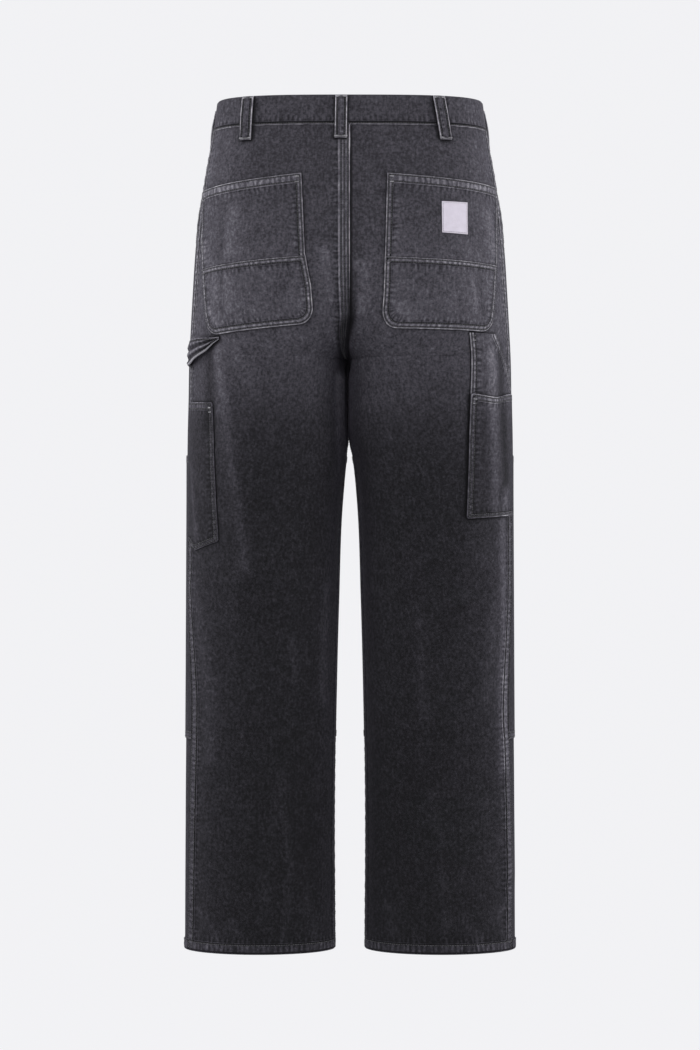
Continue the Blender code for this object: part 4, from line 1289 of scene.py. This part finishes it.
def strap_grid(down, across):
    """Both values at each point of a grid, and its faces."""
    wide = len(across)
    faces = [(r * wide + c, r * wide + c + 1, (r + 1) * wide + c + 1, (r + 1) * wide + c)
             for r in range(len(down) - 1) for c in range(wide - 1)]
    return *(grid.ravel() for grid in np.meshgrid(down, across, indexing="ij")), faces


for index, (place_name, side, along, slant, foot, bow) in enumerate(BELT_LOOPS):

    def loop_points(share, across, off):
        """Points over a belt loop, some distance off its inner face."""
        level = LOOP_TOP - LOOP_LONG * share
        middle = along * whole_run(level) + slant * share
        under = 1.0 + (foot - 1.0) * share + bow * np.sin(np.pi * share) ** 0.8
        return cloth_points(1, side * (middle + across), level, under + off)

    def loop_top(share, across):
        """The thickness of a belt loop, with its sewn edges, crown and turned ends."""
        inset = LOOP_HALF - np.abs(across)
        end = np.minimum(share, 1 - share) * LOOP_LONG
        rim = 0.8 * (1 - smooth_step(0.0, 1.6, inset)) + 0.7 * (1 - smooth_step(0.0, 1.5, end))
        groove = 0.35 * np.exp(-((inset - 2.6) / 0.9) ** 2)
        turned = 0.5 * (1 - smooth_step(7.0, 9.0, end))
        swell = 0.22 * ripple(share * 55.0 + inset, index + 1.0) * smooth_step(0.5, 3.0, inset)
        return LOOP_CLOTH - rim - groove + turned + swell

    share, across, faces = strap_grid(loop_shares, loop_across)
    outer, out = loop_points(share, across, loop_top(share, across))
    inner, _ = loop_points(share, across, 0.0)
    seams = nearest_seam([
        (share * LOOP_LONG + 80.0 * (across > 0), LOOP_HALF - np.abs(across), 3.6),
        (across, np.minimum(share, 1 - share) * LOOP_LONG, 2.0)])
    flat = side_by_side(across, -share * LOOP_LONG)
    name = f"belt_loop_{place_name}"
    add_cloth(name, (outer, inner, out), faces, seams, 0.46, flat)
    rows = []
    down = np.arange(0.03, 0.97, 0.02)
    for edge in (-4.8, 4.8):
        rows.append(stitches_along(*loop_points(down, edge, loop_top(down, edge) + 0.1)))
    tacks = []
    for share_at, long in ((0.045, 12.0), (0.965, 15.4)):
        ends = np.array([-6.6, 6.6])
        level = np.full(2, share_at)
        on, out = loop_points(level, ends, loop_top(level, ends * 0.7) + 0.25)
        tacks.append(tack_stitches(
            on.mean(axis=0), on[1] - on[0], out.mean(axis=0), long, 2.4, 23))
    add_stitches(f"{name}_stitching", rows, 0.7)
    add_stitches(f"{name}_bar_tacks", tacks, 0.7, 0.5, rubbed_thread)

# Hammer loop. A strap of denim folded in three, sewn down both edges, caught in the seam
# under the left back pocket and in the outseam, and slack between them.
HAMMER_STATIONS = np.array([
    # distance from the outseam, upper edge, lower edge, how far off the leg
    (2, -287, -315, 1.4), (10, -286, -314.5, 3.6), (20, -284.5, -313.5, 6.6),
    (30, -283.5, -311.5, 8.6), (40, -282.5, -307.5, 9.0), (50, -282, -303, 8.0),
    (59, -282, -298, 5.5), (67, -282, -291, 2.5), (76, -282, -285, 0.5)])
HAMMER_CLOTH = 2.4


def strap_ridges(share):
    """The lengthwise ridges of the slack strap, from -1 in a hollow to 1 on a crest."""
    return np.cos((share - 0.22) * 17.0)


def strap_width(across):
    """The strap's width at a distance from the outseam."""
    return np.interp(
        across, HAMMER_STATIONS[:, 0], HAMMER_STATIONS[:, 1] - HAMMER_STATIONS[:, 2])


def strap_points(across, share, off):
    """Points over the hammer loop, from its upper edge at 0 to its lower one at 1."""
    upper, lower, stand = (np.interp(across, HAMMER_STATIONS[:, 0], column)
                           for column in HAMMER_STATIONS[:, 1:].T)
    level = upper + (lower - upper) * share
    slack = np.minimum(stand / HAMMER_CLOTH, 1.0)
    ridges = 1.1 * strap_ridges(share) * smooth_step(0.0, 0.12, share * (1 - share) + 0.03)
    ridges += 0.5 * np.sin(across * 0.21 + share * 5.0) * smooth_step(0.0, 0.2, share)
    lift = stand + ridges * slack + off
    return cloth_points(-1, outseam_run(level) - across, level, lift)


strap_across = np.linspace(2.0, 76.0, 46)
strap_shares = np.array([
    0.0, 0.03, 0.08, 0.15, 0.22, 0.3, 0.38, 0.46, 0.54, 0.62, 0.7, 0.78, 0.85, 0.92, 0.97, 1.0])
across, share, faces = strap_grid(strap_across, strap_shares)
inset = np.minimum(share, 1 - share) * strap_width(across)
outer, out = strap_points(across, share, HAMMER_CLOTH - 0.8 * (1 - smooth_step(0.0, 1.6, inset)))
inner, _ = strap_points(across, share, 0.0)
seams = side_by_side(across + 90.0 * (share > 0.5), inset, 3.4)
ridge_light = 0.36 + 0.42 * smooth_step(0.0, 1.0, strap_ridges(share))
flat = side_by_side(across, -share * strap_width(across))
add_cloth("hammer_loop", (outer, inner, out), faces, seams, ridge_light, flat)
rows = []
along = np.arange(4.0, 73.0, 1.2)
for edge in (2.6, -2.6):
    at = edge / strap_width(along) + (edge < 0)
    rows.append(stitches_along(*strap_points(along, np.clip(at, 0.1, 0.9), HAMMER_CLOTH + 0.1)))
add_stitches("hammer_loop_stitching", rows)

# Waist button. A cast shank button, dark and rubbed bright on its rim, with a dished face;
# its shank goes through the lapped end of the waistband.
bronze, tree, shader = new_material("rubbed_dark_metal", {"Metallic": 1.0, "Roughness": 0.38})
geometry = wire(tree, "ShaderNodeNewGeometry", {}, {}).node
patina = noise_of(tree, body_place(tree), 700.0, 4.0)
edge_wear = ramp_of(tree, geometry.outputs["Pointiness"], 0.49, 0.58)
rubbed = with_parts(tree, sum_of(tree, "MULTIPLY", edge_wear, 0.6), ((patina, 0.5),))
metal_colour = colour_of(tree, rubbed, (0.045, 0.04, 0.036), (0.42, 0.38, 0.33))
dress(tree, shader, metal_colour, patina, 0.15, 0.0002)
BUTTON_SIDES = 40
BUTTON_ACROSS = 9.0
BUTTON_LIFT = 4.6
BUTTON_REACH = 8.0
BUTTON_PROFILE = (
    # distance from the middle and height over the band
    (0.0, 1.15), (2.0, 1.2), (4.0, 1.35), (5.2, 1.6), (5.9, 2.1), (6.6, 2.45), (7.3, 2.5),
    (8.0, 2.2), (8.45, 1.5), (8.3, 0.9), (7.2, 0.45), (3.6, 0.3), (2.4, 0.1))
middle = BUTTON_ACROSS - float(whole_run(0.0))
spread, _ = cloth_points(
    1, np.array([middle, middle - BUTTON_REACH, middle + BUTTON_REACH]), np.zeros(3), BUTTON_LIFT)
uprights, _ = cloth_points(
    1, np.full(2, middle), np.array([-BUTTON_REACH, BUTTON_REACH]), BUTTON_LIFT)
across_way = Vector(spread[2] - spread[1]).normalized()
up_way = Vector(uprights[1] - uprights[0]).normalized()
face_way = across_way.cross(up_way).normalized()
if face_way.y < 0:
    face_way.negate()
centre = Vector(spread[0])
points = [tuple(centre + face_way * (BUTTON_PROFILE[0][1] * 0.001))]
for radius, high in BUTTON_PROFILE[1:]:
    for step in range(BUTTON_SIDES):
        turn = math.tau * step / BUTTON_SIDES
        spoke = across_way * math.cos(turn) + up_way * math.sin(turn)
        points.append(tuple(centre + spoke * (radius * 0.001) + face_way * (high * 0.001)))
faces = [(0, 1 + step, 1 + (step + 1) % BUTTON_SIDES) for step in range(BUTTON_SIDES)]
for low in range(1, 1 + (len(BUTTON_PROFILE) - 2) * BUTTON_SIDES, BUTTON_SIDES):
    high = low + BUTTON_SIDES
    for step in range(BUTTON_SIDES):
        after = (step + 1) % BUTTON_SIDES
        faces.append((low + step, high + step, high + after, low + after))
last_ring = 1 + (len(BUTTON_PROFILE) - 2) * BUTTON_SIDES
faces.append(tuple(range(last_ring, last_ring + BUTTON_SIDES)))
button_mesh = bpy.data.meshes.new("waist_button")
button_mesh.from_pydata(points, [], faces)
whole_button = bmesh.new()
whole_button.from_mesh(button_mesh)
bmesh.ops.recalc_face_normals(whole_button, faces=whole_button.faces)
whole_button.to_mesh(button_mesh)
whole_button.free()
button_mesh.shade_smooth()
button_mesh.set_sharp_from_angle(angle=math.radians(45))
button_mesh.materials.append(bronze)
button = add_object("button", button_mesh)
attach(button, "root")
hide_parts("waist_button")
